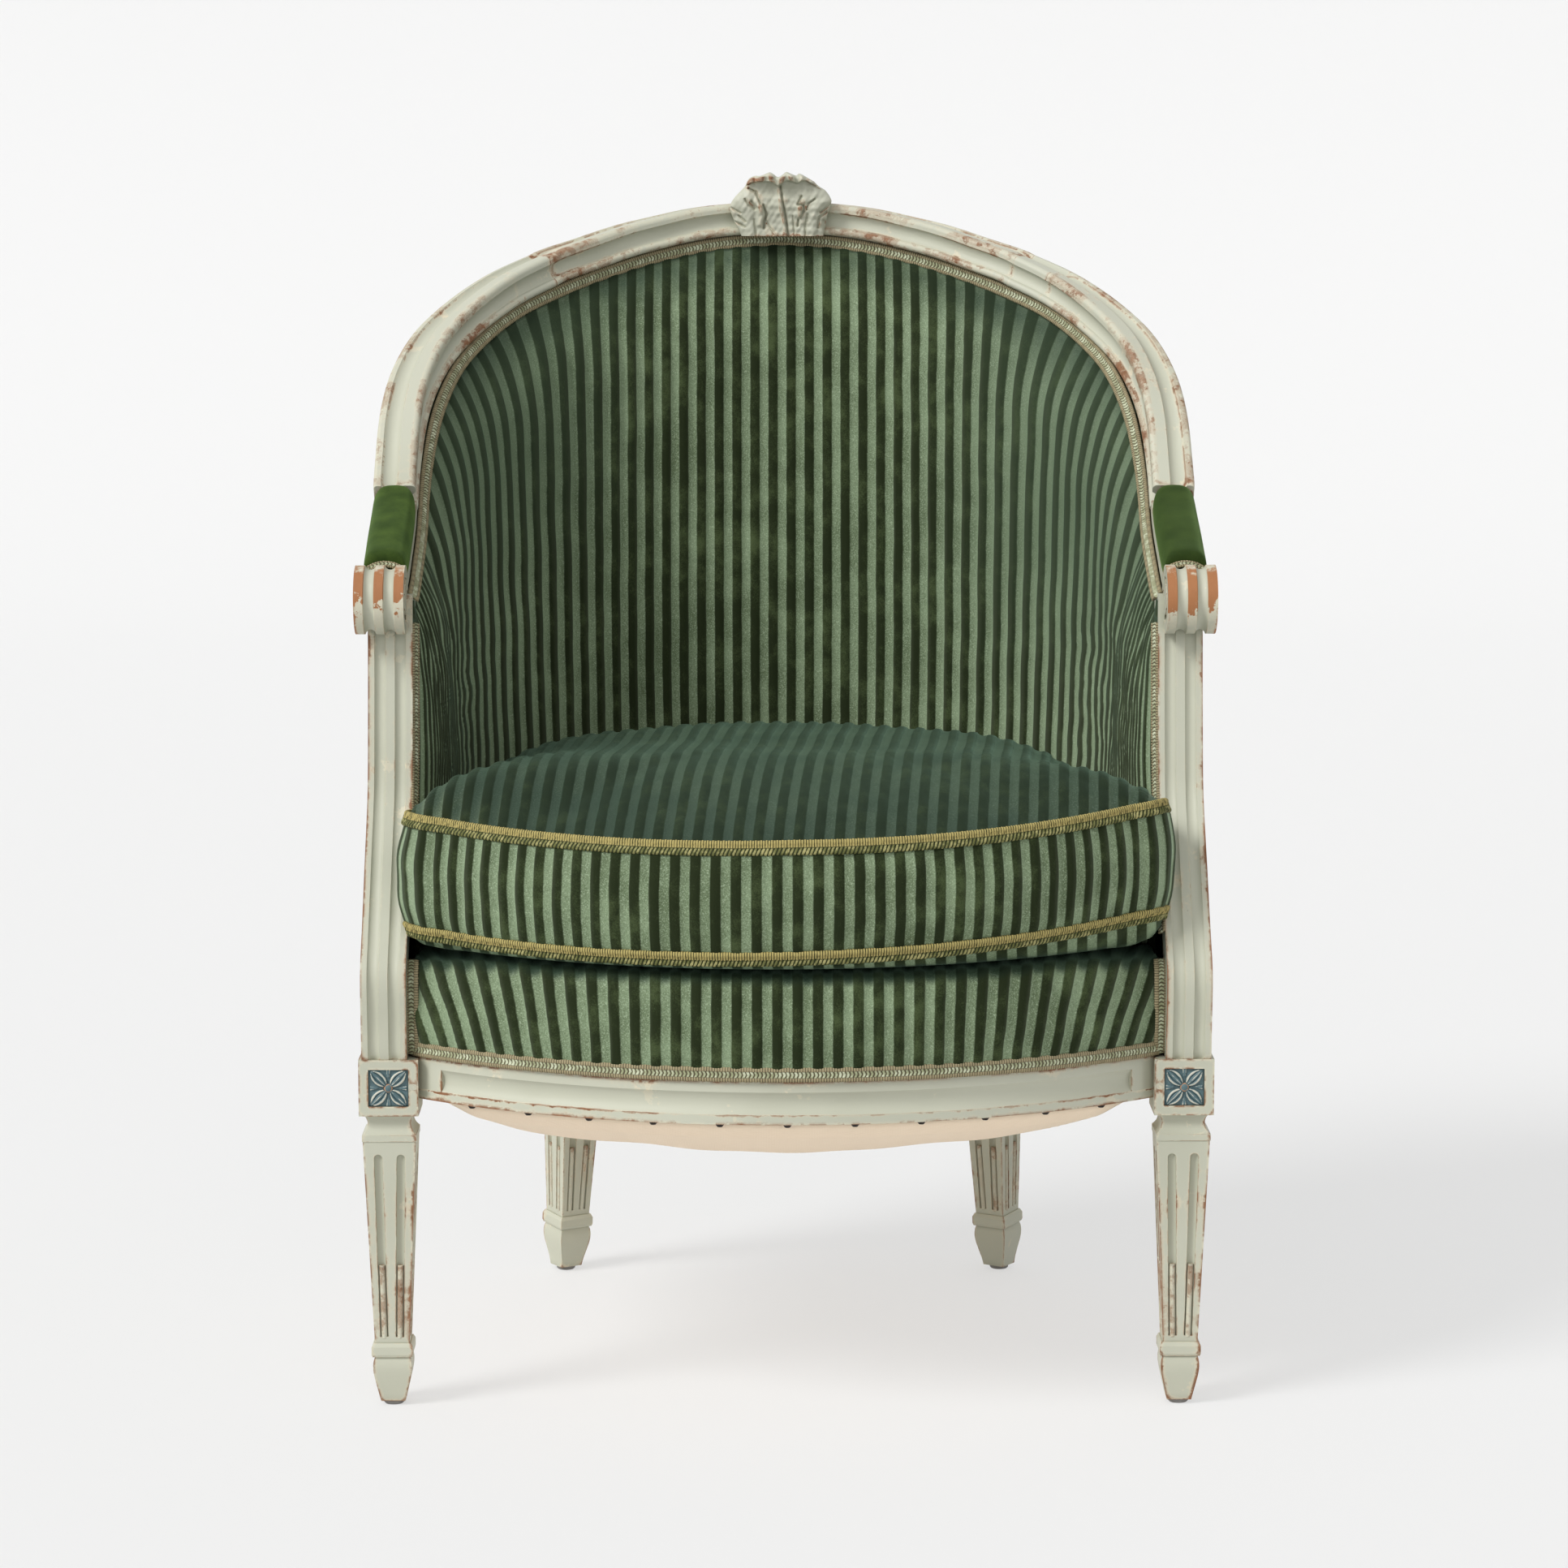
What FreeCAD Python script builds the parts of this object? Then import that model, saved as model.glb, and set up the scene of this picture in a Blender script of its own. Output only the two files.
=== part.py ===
import FreeCAD, Part
import os
from math import asin, cos, degrees, hypot, pi, radians, sin, sqrt, tan

V = FreeCAD.Vector
UP = V(0, 0, 1)

# A barrel-backed bergere. Lengths are millimetres, +Z is up and the sitter faces -Y.
# Plan of the seat frame: straight sides, two shoulder arcs and one back arc.
SEAT_HALF_WIDTH = 318.0
SIDE_END_Y = 204.4
SHOULDER_RADIUS = 276.7
LEG_TURN = radians(33)
SHOULDER_X = SEAT_HALF_WIDTH - SHOULDER_RADIUS
BACK_RADIUS = SHOULDER_RADIUS + SHOULDER_X / sin(LEG_TURN)
BACK_CENTRE_Y = SIDE_END_Y - SHOULDER_X / tan(LEG_TURN)
BACK_STATION = BACK_RADIUS * LEG_TURN
SIDE_STATION = BACK_STATION + SHOULDER_RADIUS * (pi / 2 - LEG_TURN)

# The barrel opens and leans back as it rises, by these shares of the height.
FLARE = 0.035
LEAN = 0.068

# Heights above the floor.
GLIDE_HEIGHT = 3.5
BLOCK_BOTTOM = 233.0
BLOCK_TOP = 277.0
RAIL_BOTTOM = 245.0
RAIL_TOP = 314.0
SHOW_WOOD_TOP = 278.0
CANVAS_TOP = 316.4
PAD_BOTTOM = 317.0
DECK_TOP = 362.0
CUSHION_BOTTOM = 364.0
LOWER_SEAM = 376.0
UPPER_SEAM = 461.0
CUSHION_CROWN = 46.0

# Seat rails.
RAIL_FACE_INSET = 2.0
RAIL_INNER_INSET = 40.0
REBATE_INSET = 5.0
FRONT_RADIUS = 448.0
FRONT_RAIL_Y = -113.5
FRONT_RAIL_THICK = 38.0
FRONT_CENTRE_Y = FRONT_RAIL_Y + FRONT_RADIUS
COVE_BOTTOM = 252.5
COVE_TOP = 270.0
COVE_DEPTH = 3.6
FRONT_COVE_END = 18.0

# Legs.
FRONT_LEG_X = 307.0
BLOCK_WIDTH = 46.0
REAR_BLOCK_WIDTH = 44.0
REAR_SPLAY = 4.5
SHAFT_TOP = 212.5
SHAFT_BOTTOM = 51.0
SHAFT_TOP_WIDTH = 41.0
SHAFT_BOTTOM_WIDTH = 27.0
FLUTE_SPREAD = 0.22
FLUTE_RADIUS = 3.3
FLUTE_TOP = 202.3
FLUTE_BOTTOM = SHAFT_BOTTOM + 5
CABLE_TOP = 113.6
CABLE_RADIUS = 2.3
CABLE_SUNK = 1.8

# Back frame: a moulded section, thick from rear to front and deep across its face.
FRAME_THICK = 34.0
FRAME_FACE = 40.0
FRAME_REBATE = 26.0
FRAME_BEAD_END = 27.0
CREST_END = 222.0
POST_END = 260.0
PAD_REAR = 489.0
PAD_FRONT = 620.0
PAD_SEAT = 16.0

# Upper edge of the back frame and arms: distance round the plan from the back centre, and height.
EDGE_LINE = [(0, 927), (59, 922.9), (118, 911.8), (177, 895.5), (226, 879.4), (267, 864.3),
             (323, 838.5), (371, 813.1), (422, 775.4), (455, 739), (480, 709), (505, 692),
             (560, 672), (620, 655), (760, 648)]

# Arm support: height and front face, from the leg block up to the hand.
SUPPORT_LINE = [(277, -22), (310, -25), (345, -25), (380, 0), (427, 33), (460, 58), (497, 72),
                (552, 81), (598, 86), (626, 88)]
SUPPORT_X = 310.0
SUPPORT_WIDTH = 35.0
SUPPORT_DEPTH = 34.0

# Hand scroll at the end of each arm.
HAND_Y = 80.0
HAND_Z = 623.0
HAND_RADIUS = 27.0
HAND_INNER_X = 297.0
HAND_OUTER_X = 336.0

# Upholstery depths, measured inwards from the outer face of the barrel.
COVER_NEAR = 0.6
COVER_FAR = 3.6
STUFFING_NEAR = 28.0
STUFFING_FAR = 58.0
STUFFING_FRONT_FAR = 32.0
CUSHION_INSET = 63.0
GIMP_WIDTH = 10.5
GIMP_THICK = 2.4
GAP = 0.3
STUFFING_END = 700.0
CUSHION_CENTRE = V(0, 150, 0)
CUSHION_SIDE_Y = 120.0
CUSHION_FRONT_Y = -116.0
CUSHION_HALF_FRONT = 282.0
DECK_HALF_FRONT = 289.0

# Section of the frame: depth from its rear face and drop below its upper edge.
MOULDING_START = (0, 3)
MOULDING = [(0.9, 0.9, 3, 0), (6, 0), (13, 4.2, 20, 0), (30, 0), (32.8, 1.2, FRAME_THICK, 4),
            (FRAME_THICK, 7), (29.5, 13, 32, 20), (35, 23.5, 32, FRAME_BEAD_END),
            (FRAME_REBATE, FRAME_BEAD_END), (FRAME_REBATE, FRAME_FACE), (0, FRAME_FACE), MOULDING_START]

# Carved ornaments. The shell: height, half width and how far it stands out, from foot to top.
ROSETTE_HALF = 15.5
ROSETTE_TALL = 14.5
ROSETTE_DEPTH = 4.0
CARVING_LEVELS = [(900, 25, -4), (908, 33, 0), (917, 41, 2), (928, 46, 4), (941, 42, 5), (952, 30, 4)]

# Bands, springs and cloth inside and under the seat.
STRAP_WIDTH = 50.0
STRAP_THICK = 2.0
STRAP_X = (-200, -100, 0, 100, 200)
STRAP_Y = (52, 129, 206, 283, 360)
BACK_STRAPS = (-150, -100, -50, 0, 50, 100, 150)
SPRING_WIRE = 1.7
SPRING_TURNS = 5
SPRING_STEPS = 16
SPRING_RADIUS = 34.0
SPRING_WAIST = 22.0
TACK_HEIGHT = 2.5
DUST_THICK = 1.4
DUST_LOWEST = 186.0
DUST_RIM = RAIL_BOTTOM - 5.0


def smooth(knots, at):
    """Cubic curve through knots, with slopes taken from the neighbouring knots."""
    last = len(knots) - 1
    i = max(k for k in range(last) if k == 0 or knots[k][0] <= at)

    def slope(k):
        low = knots[max(k - 1, 0)]
        high = knots[min(k + 1, last)]
        return (high[1] - low[1]) / (high[0] - low[0])

    span = knots[i + 1][0] - knots[i][0]
    t = (at - knots[i][0]) / span
    start = (1 + 2 * t) * (1 - t) ** 2 * knots[i][1] + t * (1 - t) ** 2 * span * slope(i)
    end = t * t * (3 - 2 * t) * knots[i + 1][1] + t * t * (t - 1) * span * slope(i + 1)
    return start + end


def outline(place, start, steps):
    """Closed wire of lines (x, y) and arcs (via x, via y, x, y), set in space by place."""
    edges = []
    here = place(*start)
    for step in steps:
        end = place(*step[-2:])
        if len(step) == 4:
            edges.append(Part.Arc(here, place(*step[:2]), end).toShape())
        else:
            edges.append(Part.LineSegment(here, end).toShape())
        here = end
    return Part.Wire(edges)


def level(z):
    return lambda x, y: V(x, y, z)


def prism(wire, height):
    return Part.Face(wire).extrude(V(0, 0, height))


def box(low, high):
    return Part.makeBox(high[0] - low[0], high[1] - low[1], high[2] - low[2], V(*low))


def mirrored(shape):
    return shape.mirror(V(0, 0, 0), V(1, 0, 0))


def pair(shapes, name, right):
    shapes[name + "_right"] = right
    shapes[name + "_left"] = mirrored(right)


def one_solid(shape):
    return max(shape.Solids, key=lambda s: s.Volume)


# The horseshoe plan is walked by station: distance from the back centre, positive towards +X.
def plan_turn(station):
    s = abs(station)
    if s <= BACK_STATION:
        return s / BACK_RADIUS
    return min(LEG_TURN + (s - BACK_STATION) / SHOULDER_RADIUS, pi / 2)


def plan_normal(station):
    side = 1 if station >= 0 else -1
    turn = plan_turn(station)
    return V(side * sin(turn), cos(turn), 0)


def plan_point(station, inset):
    s = abs(station)
    side = 1 if station >= 0 else -1
    turn = plan_turn(station)
    if s <= BACK_STATION:
        radius = BACK_RADIUS - inset
        return V(side * radius * sin(turn), BACK_CENTRE_Y + radius * cos(turn), 0)
    radius = SHOULDER_RADIUS - inset
    forward = max(s - SIDE_STATION, 0)
    return V(side * (SHOULDER_X + radius * sin(turn)), SIDE_END_Y + radius * cos(turn) - forward, 0)


def barrel_point(station, depth, z):
    rise = z - BLOCK_TOP
    return plan_point(station, depth - FLARE * rise) + V(0, LEAN * rise, z)


def edge_point(station):
    return barrel_point(station, 0, smooth(EDGE_LINE, abs(station)))


def frame_place(station):
    """Map from (depth, drop) of the frame section to space, square to the edge line."""
    along = (edge_point(station + 1) - edge_point(station - 1)).normalize()
    normal = plan_normal(station)
    up = along.cross(normal)
    if up.z < 0:
        up = up * -1
    up.normalize()
    back = up.cross(along)
    if back.dot(normal) < 0:
        back = back * -1
    origin = edge_point(station)
    return lambda depth, drop: origin - back * depth - up * drop


def spread(first, last, count):
    return [first + (last - first) * i / (count - 1) for i in range(count)]


def frame_loft(first, last, count, start, steps):
    wires = [outline(frame_place(s), start, steps) for s in spread(first, last, count)]
    return Part.makeLoft(wires, True, False)


# Rear edge, hollow of the edge face, front edge, cavetto and bead, rebate for the upholstery.


def crest_rail():
    return frame_loft(-CREST_END, CREST_END, 15, MOULDING_START, MOULDING)


def back_side():
    return frame_loft(POST_END, PAD_REAR, 13, MOULDING_START, MOULDING)


def hand_scroll():
    width = HAND_OUTER_X - HAND_INNER_X
    base = V(HAND_INNER_X, HAND_Y, HAND_Z)
    scroll = Part.makeCylinder(HAND_RADIUS, width, base, V(1, 0, 0))
    flute = 4.6
    tools = []
    for share in (0.3, 0.7):
        centre = base + V(width * share, 0, 0)
        tools.append(Part.makeTorus(HAND_RADIUS + 1.2, flute, centre, V(1, 0, 0)))
    for x in (HAND_INNER_X, HAND_OUTER_X):
        tools.append(Part.makeTorus(15.0, 3.0, V(x, HAND_Y, HAND_Z), V(1, 0, 0)))
    return scroll.cut(tools)


def arm():
    start = (0, PAD_SEAT)
    steps = [(FRAME_THICK, PAD_SEAT), (FRAME_THICK, FRAME_BEAD_END), (FRAME_REBATE, FRAME_BEAD_END),
             (FRAME_REBATE, FRAME_FACE), (0, FRAME_FACE), start]
    bar = frame_loft(PAD_REAR, PAD_FRONT + 6, 9, start, steps)
    return one_solid(bar.fuse(hand_scroll()).removeSplitter())


def support_front(z):
    return smooth(SUPPORT_LINE, z)


def support_wire(z):
    """Section of the arm support: two flutes on the front face and two on the outer face."""
    inner = SUPPORT_X - SUPPORT_WIDTH / 2
    outer = SUPPORT_X + SUPPORT_WIDTH / 2
    front = support_front(z)
    rear = front + SUPPORT_DEPTH
    fillet, flute, deep = 5.0, 9.0, 2.8
    steps = []
    for first in (inner + fillet, outer - fillet - flute):
        steps.append((first, front))
        steps.append((first + flute / 2, front + deep, first + flute, front))
    steps.append((outer, front))
    for first in (front + fillet, rear - fillet - flute):
        steps.append((outer, first))
        steps.append((outer - deep, first + flute / 2, outer, first + flute))
    steps += [(outer, rear), (inner, rear), (inner, front)]
    return outline(level(z), (inner, front), steps)


def arm_support(arm_shape):
    heights = [277, 295, 320, 345, 370, 400, 427, 460, 497, 552, 598, 626]
    post = Part.makeLoft([support_wire(z) for z in heights], True, False)
    tenon = box((SUPPORT_X - 9, -16, BLOCK_TOP - 24), (SUPPORT_X + 9, 2, BLOCK_TOP + 1))
    return one_solid(one_solid(post.cut(arm_shape)).fuse(tenon))


def square_loft(levels):
    """Smooth square turning through (height, width) levels."""
    wires = []
    for z, width in levels:
        h = width / 2
        wires.append(outline(level(z), (-h, -h), [(h, -h), (h, h), (-h, h), (-h, -h)]))
    return Part.makeLoft(wires, True, False)


def square_stack(levels):
    """Square block with flat sloping faces between (height, width) levels."""
    rings = []
    for z, width in levels:
        h = width / 2
        rings.append([V(-h, -h, z), V(h, -h, z), V(h, h, z), V(-h, h, z)])
    loops = [rings[0], rings[-1]]
    for lower, upper in zip(rings, rings[1:]):
        for i in range(4):
            loops.append([lower[i], lower[i - 1], upper[i - 1], upper[i]])
    return Part.Solid(Part.Shell([Part.Face(Part.makePolygon(loop + loop[:1])) for loop in loops]))


def rod(low, high, radius):
    axis = high - low
    return Part.makeCylinder(radius, axis.Length, low, axis)


def shaft_width(z):
    share = (z - SHAFT_BOTTOM) / (SHAFT_TOP - SHAFT_BOTTOM)
    return SHAFT_BOTTOM_WIDTH + (SHAFT_TOP_WIDTH - SHAFT_BOTTOM_WIDTH) * share


def fluted_shaft():
    """Tapered square shaft with two flutes on each face, the lower part of each filled by a cable."""
    shaft = square_stack([(SHAFT_BOTTOM, SHAFT_BOTTOM_WIDTH), (SHAFT_TOP, SHAFT_TOP_WIDTH)])
    cables = []
    for quarter in range(4):
        out = V(cos(quarter * pi / 2), sin(quarter * pi / 2), 0)
        across = V(-out.y, out.x, 0)

        def on_face(z, side, sunk):
            width = shaft_width(z)
            return out * (width / 2 - sunk) + across * (side * FLUTE_SPREAD * width) + UP * z

        for side in (-1, 1):
            high = on_face(FLUTE_TOP - FLUTE_RADIUS, side, 0)
            shaft = shaft.cut(rod(on_face(FLUTE_BOTTOM, side, 0), high, FLUTE_RADIUS))
            shaft = shaft.cut(Part.makeSphere(FLUTE_RADIUS, high))
            cables.append(rod(on_face(FLUTE_BOTTOM - 1, side, CABLE_SUNK),
                              on_face(CABLE_TOP, side, CABLE_SUNK), CABLE_RADIUS))
    return shaft.fuse(cables)


def turned_leg(block_width, top, floor_drop):
    """Block, necked capital, fluted shaft, ring and tapered foot, centred on the Z axis."""
    block = box((-block_width / 2, -block_width / 2, BLOCK_BOTTOM), (block_width / 2, block_width / 2, top))
    neck = square_loft([(217.5, 41.5), (221.5, 35.5), (226, 33.5), (230, 35), (BLOCK_BOTTOM, 40)])
    cap = square_stack([(SHAFT_TOP, 42), (217.5, 42)])
    ring = square_stack([(40, 30.5), (42, 32), (48, 32), (SHAFT_BOTTOM, 29)])
    foot = square_loft([(GLIDE_HEIGHT - floor_drop, 19), (9, 21.5), (20, 26.5), (31.5, 30), (40, 27)])
    return block.fuse([neck, cap, fluted_shaft(), ring, foot]).removeSplitter()


def front_leg():
    leg = turned_leg(BLOCK_WIDTH, BLOCK_TOP, 0)
    leg.translate(V(FRONT_LEG_X, 0, 0))
    return leg


def place_rosette(shape):
    """Copies of a shape made facing -Y about the origin: on the front and outer faces of the block."""
    middle = V(FRONT_LEG_X, 0, (BLOCK_BOTTOM + BLOCK_TOP) / 2)
    front = shape.copy()
    front.translate(middle - V(0, BLOCK_WIDTH / 2, 0))
    outer = shape.copy()
    outer.rotate(V(0, 0, 0), UP, 90)
    outer.translate(middle + V(BLOCK_WIDTH / 2, 0, 0))
    return [front, outer]


def rosette_panel(near):
    """Square panel of the block face, from a depth down to the bottom of its sinking."""
    return box((-ROSETTE_HALF, near, -ROSETTE_TALL), (ROSETTE_HALF, ROSETTE_DEPTH, ROSETTE_TALL))


def rosette():
    """Four-petalled flower on a thin square ground, facing -Y, its face at y = 0."""
    ground = rosette_panel(2.2)
    petals = []
    for quarter in range(4):
        petal = Part.makeSphere(1.0)
        stretch = FreeCAD.Matrix()
        stretch.scale(6.4, 2.4, 4.0)
        petal = petal.transformGeometry(stretch)
        petal.translate(V(8.6, 2.9, 0))
        petal.rotate(V(0, 0, 0), V(0, 1, 0), 45 + 90 * quarter)
        petals.append(petal)
    button = Part.makeSphere(3.6, V(0, 3.4, 0))
    flower = ground.fuse(petals + [button])
    return one_solid(flower.common(rosette_panel(-0.4)))


def rosettes():
    right = place_rosette(rosette())
    return right + [mirrored(flower) for flower in right]


REAR_BLOCK_CENTRE = plan_point(BACK_STATION, REAR_BLOCK_WIDTH / 2)


def turn_to_rear(shape):
    """Turn a shape made about the Z axis, outward along +Y, to its place at the right rear leg."""
    shape.rotate(V(0, 0, 0), UP, -degrees(LEG_TURN))
    shape.translate(REAR_BLOCK_CENTRE)
    return shape


def rear_leg():
    half = REAR_BLOCK_WIDTH / 2
    leg = turned_leg(REAR_BLOCK_WIDTH - 2, BLOCK_BOTTOM + 12, 4)
    leg.rotate(V(0, 0, BLOCK_BOTTOM), V(1, 0, 0), REAR_SPLAY)
    leg = leg.cut(box((-60, -60, -30), (60, 60, GLIDE_HEIGHT)))
    block = box((-half, -half, BLOCK_BOTTOM), (half, half, RAIL_TOP))
    return turn_to_rear(one_solid(leg.fuse(block)))


def back_post():
    """Upright inside the barrel, ending in a moulded head between the crest rail and the side."""
    wires = []
    for station, z in ((BACK_STATION, RAIL_TOP - 2), (BACK_STATION + 18, 600), (241, 860)):
        normal = plan_normal(station)
        across = V(normal.y, -normal.x, 0)
        corners = []
        for depth, side in ((5, -17), (5, 17), (25, 17), (25, -17)):
            corners.append(barrel_point(station, depth, z) + across * side)
        wires.append(Part.makePolygon(corners + corners[:1]))
    upright = Part.makeLoft(wires, True, True)
    head = frame_loft(CREST_END, POST_END, 4, MOULDING_START, MOULDING)
    return upright, head


def ring_prism(near, far, low, high, first, last):
    """Wall between two insets of the plan, from one station to another on the same arc or straight."""
    middle = (first + last) / 2
    steps = []
    for inset, stations in ((near, (first, middle, last)), (far, (last, middle, first))):
        a, b, c = [plan_point(s, inset) for s in stations]
        steps.append((a.x, a.y))
        steps.append((b.x, b.y, c.x, c.y))
    return prism(outline(level(low), steps[0], steps[1:] + [steps[0]]), high - low)


def straight_prism(near, far, low, high, rear_y, front_y):
    return box((SEAT_HALF_WIDTH - far, front_y, low), (SEAT_HALF_WIDTH - near, rear_y, high))


def cove_face(radius, outward):
    """Hollow of a rail face, in the plane of x and z, for revolving about a vertical line."""
    middle = (COVE_BOTTOM + COVE_TOP) / 2
    return Part.Face(outline(lambda x, z: V(x, 0, z), (radius + outward, COVE_BOTTOM),
                             [(radius, COVE_BOTTOM), (radius - COVE_DEPTH, middle, radius, COVE_TOP),
                              (radius + outward, COVE_TOP), (radius + outward, COVE_BOTTOM)]))


def revolved_cove(radius, centre, first, last):
    """Cove tool between two compass angles in degrees, counted from +X towards +Y."""
    tool = cove_face(radius, 4).revolve(V(0, 0, 0), UP, last - first)
    tool.rotate(V(0, 0, 0), UP, first)
    tool.translate(centre)
    return tool


def front_rail():
    near = FRONT_LEG_X - BLOCK_WIDTH / 2
    outer_y = FRONT_CENTRE_Y - sqrt(FRONT_RADIUS ** 2 - near ** 2)
    inner = FRONT_RADIUS - FRONT_RAIL_THICK
    inner_y = FRONT_CENTRE_Y - sqrt(inner ** 2 - near ** 2)
    steps = [(0, FRONT_RAIL_Y, near, outer_y), (near, inner_y),
             (0, FRONT_RAIL_Y + FRONT_RAIL_THICK, -near, inner_y), (-near, outer_y)]
    rail = prism(outline(level(RAIL_BOTTOM), (-near, outer_y), steps), RAIL_TOP - RAIL_BOTTOM)
    centre = V(0, FRONT_CENTRE_Y, 0)
    swing = degrees(asin((near - FRONT_COVE_END) / FRONT_RADIUS))
    cove = revolved_cove(FRONT_RADIUS, centre, 270 - swing, 270 + swing)
    rebate = Part.makeCylinder(FRONT_RADIUS + 9, 60, centre + UP * SHOW_WOOD_TOP)
    rebate = rebate.cut(Part.makeCylinder(FRONT_RADIUS - 4.5, 60, centre + UP * SHOW_WOOD_TOP))
    rail = rail.cut([cove, rebate])
    tenons = []
    for side in (-1, 1):
        tenon = box((near - 1, -12, 251), (near + 16, 0, 273))
        tenons.append(tenon if side > 0 else mirrored(tenon))
    return rail.fuse(tenons)


def rear_tenon(side):
    """Tenon in the right rear block: side -1 for the back rail, 1 for the side rail."""
    half = REAR_BLOCK_WIDTH / 2
    low, high = sorted((side * (half - 16), side * (half + 6)))
    return turn_to_rear(box((low, -2, 252), (high, 10, 300)))


def side_rail(block):
    wall = (RAIL_FACE_INSET, RAIL_INNER_INSET, RAIL_BOTTOM, RAIL_TOP)
    shoulder = ring_prism(*wall, SIDE_STATION, BACK_STATION)
    straight = straight_prism(*wall, SIDE_END_Y, BLOCK_WIDTH / 2)
    rail = one_solid(shoulder.fuse(straight).cut(block))
    radius = SHOULDER_RADIUS - RAIL_FACE_INSET
    arc_cove = revolved_cove(radius, V(SHOULDER_X, SIDE_END_Y, 0), 0, 90 - degrees(LEG_TURN) - 8)
    straight_cove = cove_face(radius, 4).extrude(V(0, SIDE_END_Y - 40, 0))
    straight_cove.translate(V(SHOULDER_X, 40, 0))
    rebates = [ring_prism(-4, REBATE_INSET, SHOW_WOOD_TOP, RAIL_TOP + 1, SIDE_STATION, BACK_STATION),
               straight_prism(-4, REBATE_INSET, SHOW_WOOD_TOP, RAIL_TOP + 1, SIDE_END_Y, 0)]
    rail = one_solid(rail.cut([arc_cove, straight_cove] + rebates))
    tenon = box((296, 3, 251), (306, BLOCK_WIDTH / 2 + 1, 273))
    return one_solid(rail.fuse([tenon, rear_tenon(1)]))


def back_rail(blocks):
    rail = ring_prism(RAIL_FACE_INSET, RAIL_INNER_INSET, RAIL_BOTTOM, RAIL_TOP, -BACK_STATION, BACK_STATION)
    rail = one_solid(rail.cut(blocks))
    swing = degrees(LEG_TURN) - 7
    cove = revolved_cove(BACK_RADIUS - RAIL_FACE_INSET, V(0, BACK_CENTRE_Y, 0), 90 - swing, 90 + swing)
    rebate = ring_prism(-4, REBATE_INSET, SHOW_WOOD_TOP, RAIL_TOP + 1, -BACK_STATION, BACK_STATION)
    tenon = rear_tenon(-1)
    return one_solid(rail.cut([cove, rebate]).fuse([tenon, mirrored(tenon)]))


def peg(base, along, length):
    return Part.makeCylinder(2.6, length, base, along)


def joint_pegs():
    """Oak pegs through the mortise and tenon joints of one side."""
    front = peg(V(288, -BLOCK_WIDTH / 2, 256), V(0, 1, 0), 26)
    side = peg(V(FRONT_LEG_X + BLOCK_WIDTH / 2, 19.5, 256), V(-1, 0, 0), 36)
    half = REAR_BLOCK_WIDTH / 2
    rear = [turn_to_rear(peg(V(x, half, 266), V(0, -1, 0), 28)) for x in (-half + 8, half - 8)]
    return [front, side] + rear


def foot_glides():
    glides = []
    splay_out = (BLOCK_BOTTOM - GLIDE_HEIGHT) * tan(radians(REAR_SPLAY))
    rear = REAR_BLOCK_CENTRE + plan_normal(BACK_STATION) * splay_out
    for centre in (V(FRONT_LEG_X, 0, 0), V(rear.x, rear.y, 0)):
        glide = Part.makeCylinder(8.0, GLIDE_HEIGHT, centre)
        glide = glide.makeChamfer(1.0, [e for e in glide.Edges if e.BoundBox.ZMax < 0.1])
        glides += [glide, mirrored(glide)]
    return glides


def corner_blocks(rails):
    low, high = 258, 296
    corners = [V(279, 105, low), V(279, -20, low), V(182, -36, low)]
    front = one_solid(prism(Part.makePolygon(corners + corners[:1]), high - low).cut(rails))
    half = REAR_BLOCK_WIDTH / 2
    rear = turn_to_rear(box((-38, -half - 18, low), (38, -half - GAP, high)))
    return [front, one_solid(rear.cut(rails))]


def block_screws():
    """Two wood screws for each corner block of the right side, heads on the inside."""
    screws = []
    starts = [(V(262, 58, 277), V(1, 0, 0)), (V(216, -5, 277), V(0, -1, 0))]
    for base, along in starts:
        shank = Part.makeCylinder(2.2, 42, base, along)
        head = Part.makeCone(4.6, 2.2, 3.2, base - along * 3.2, along)
        screws.append(shank.fuse(head))
    half = REAR_BLOCK_WIDTH / 2
    for x in (-11, 11):
        shank = Part.makeCylinder(2.2, 40, V(x, -half - 21, 277), V(0, 1, 0))
        head = Part.makeCylinder(4.6, 3, V(x, -half - 21, 277), V(0, 1, 0))
        screws.append(turn_to_rear(shank.fuse(head)))
    return screws


def crest_carving(rail):
    """Shell of the crest: a fan that rises over the rail and stands proud of its face."""
    rear = edge_point(0).y - 4
    front = edge_point(0).y - FRAME_THICK - 8
    wires = []
    for z, half, proud in CARVING_LEVELS:
        face = front - proud
        steps = [(half, rear), (half, face + 12), (half * 0.7, face + 3), (0, face, -half * 0.7, face + 3),
                 (-half, face + 12), (-half, rear)]
        wires.append(outline(level(z), (-half, rear), steps))
    return one_solid(Part.makeLoft(wires, True, False).cut(rail))


def horseshoe_steps(inset):
    """Arcs of the plan from the right side round the back to the left side."""
    middle = (BACK_STATION + SIDE_STATION) / 2
    steps = []
    for via, end in ((middle, BACK_STATION), (0, -BACK_STATION), (-middle, -SIDE_STATION)):
        a = plan_point(via, inset)
        b = plan_point(end, inset)
        steps.append((a.x, a.y, b.x, b.y))
    return steps


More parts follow.
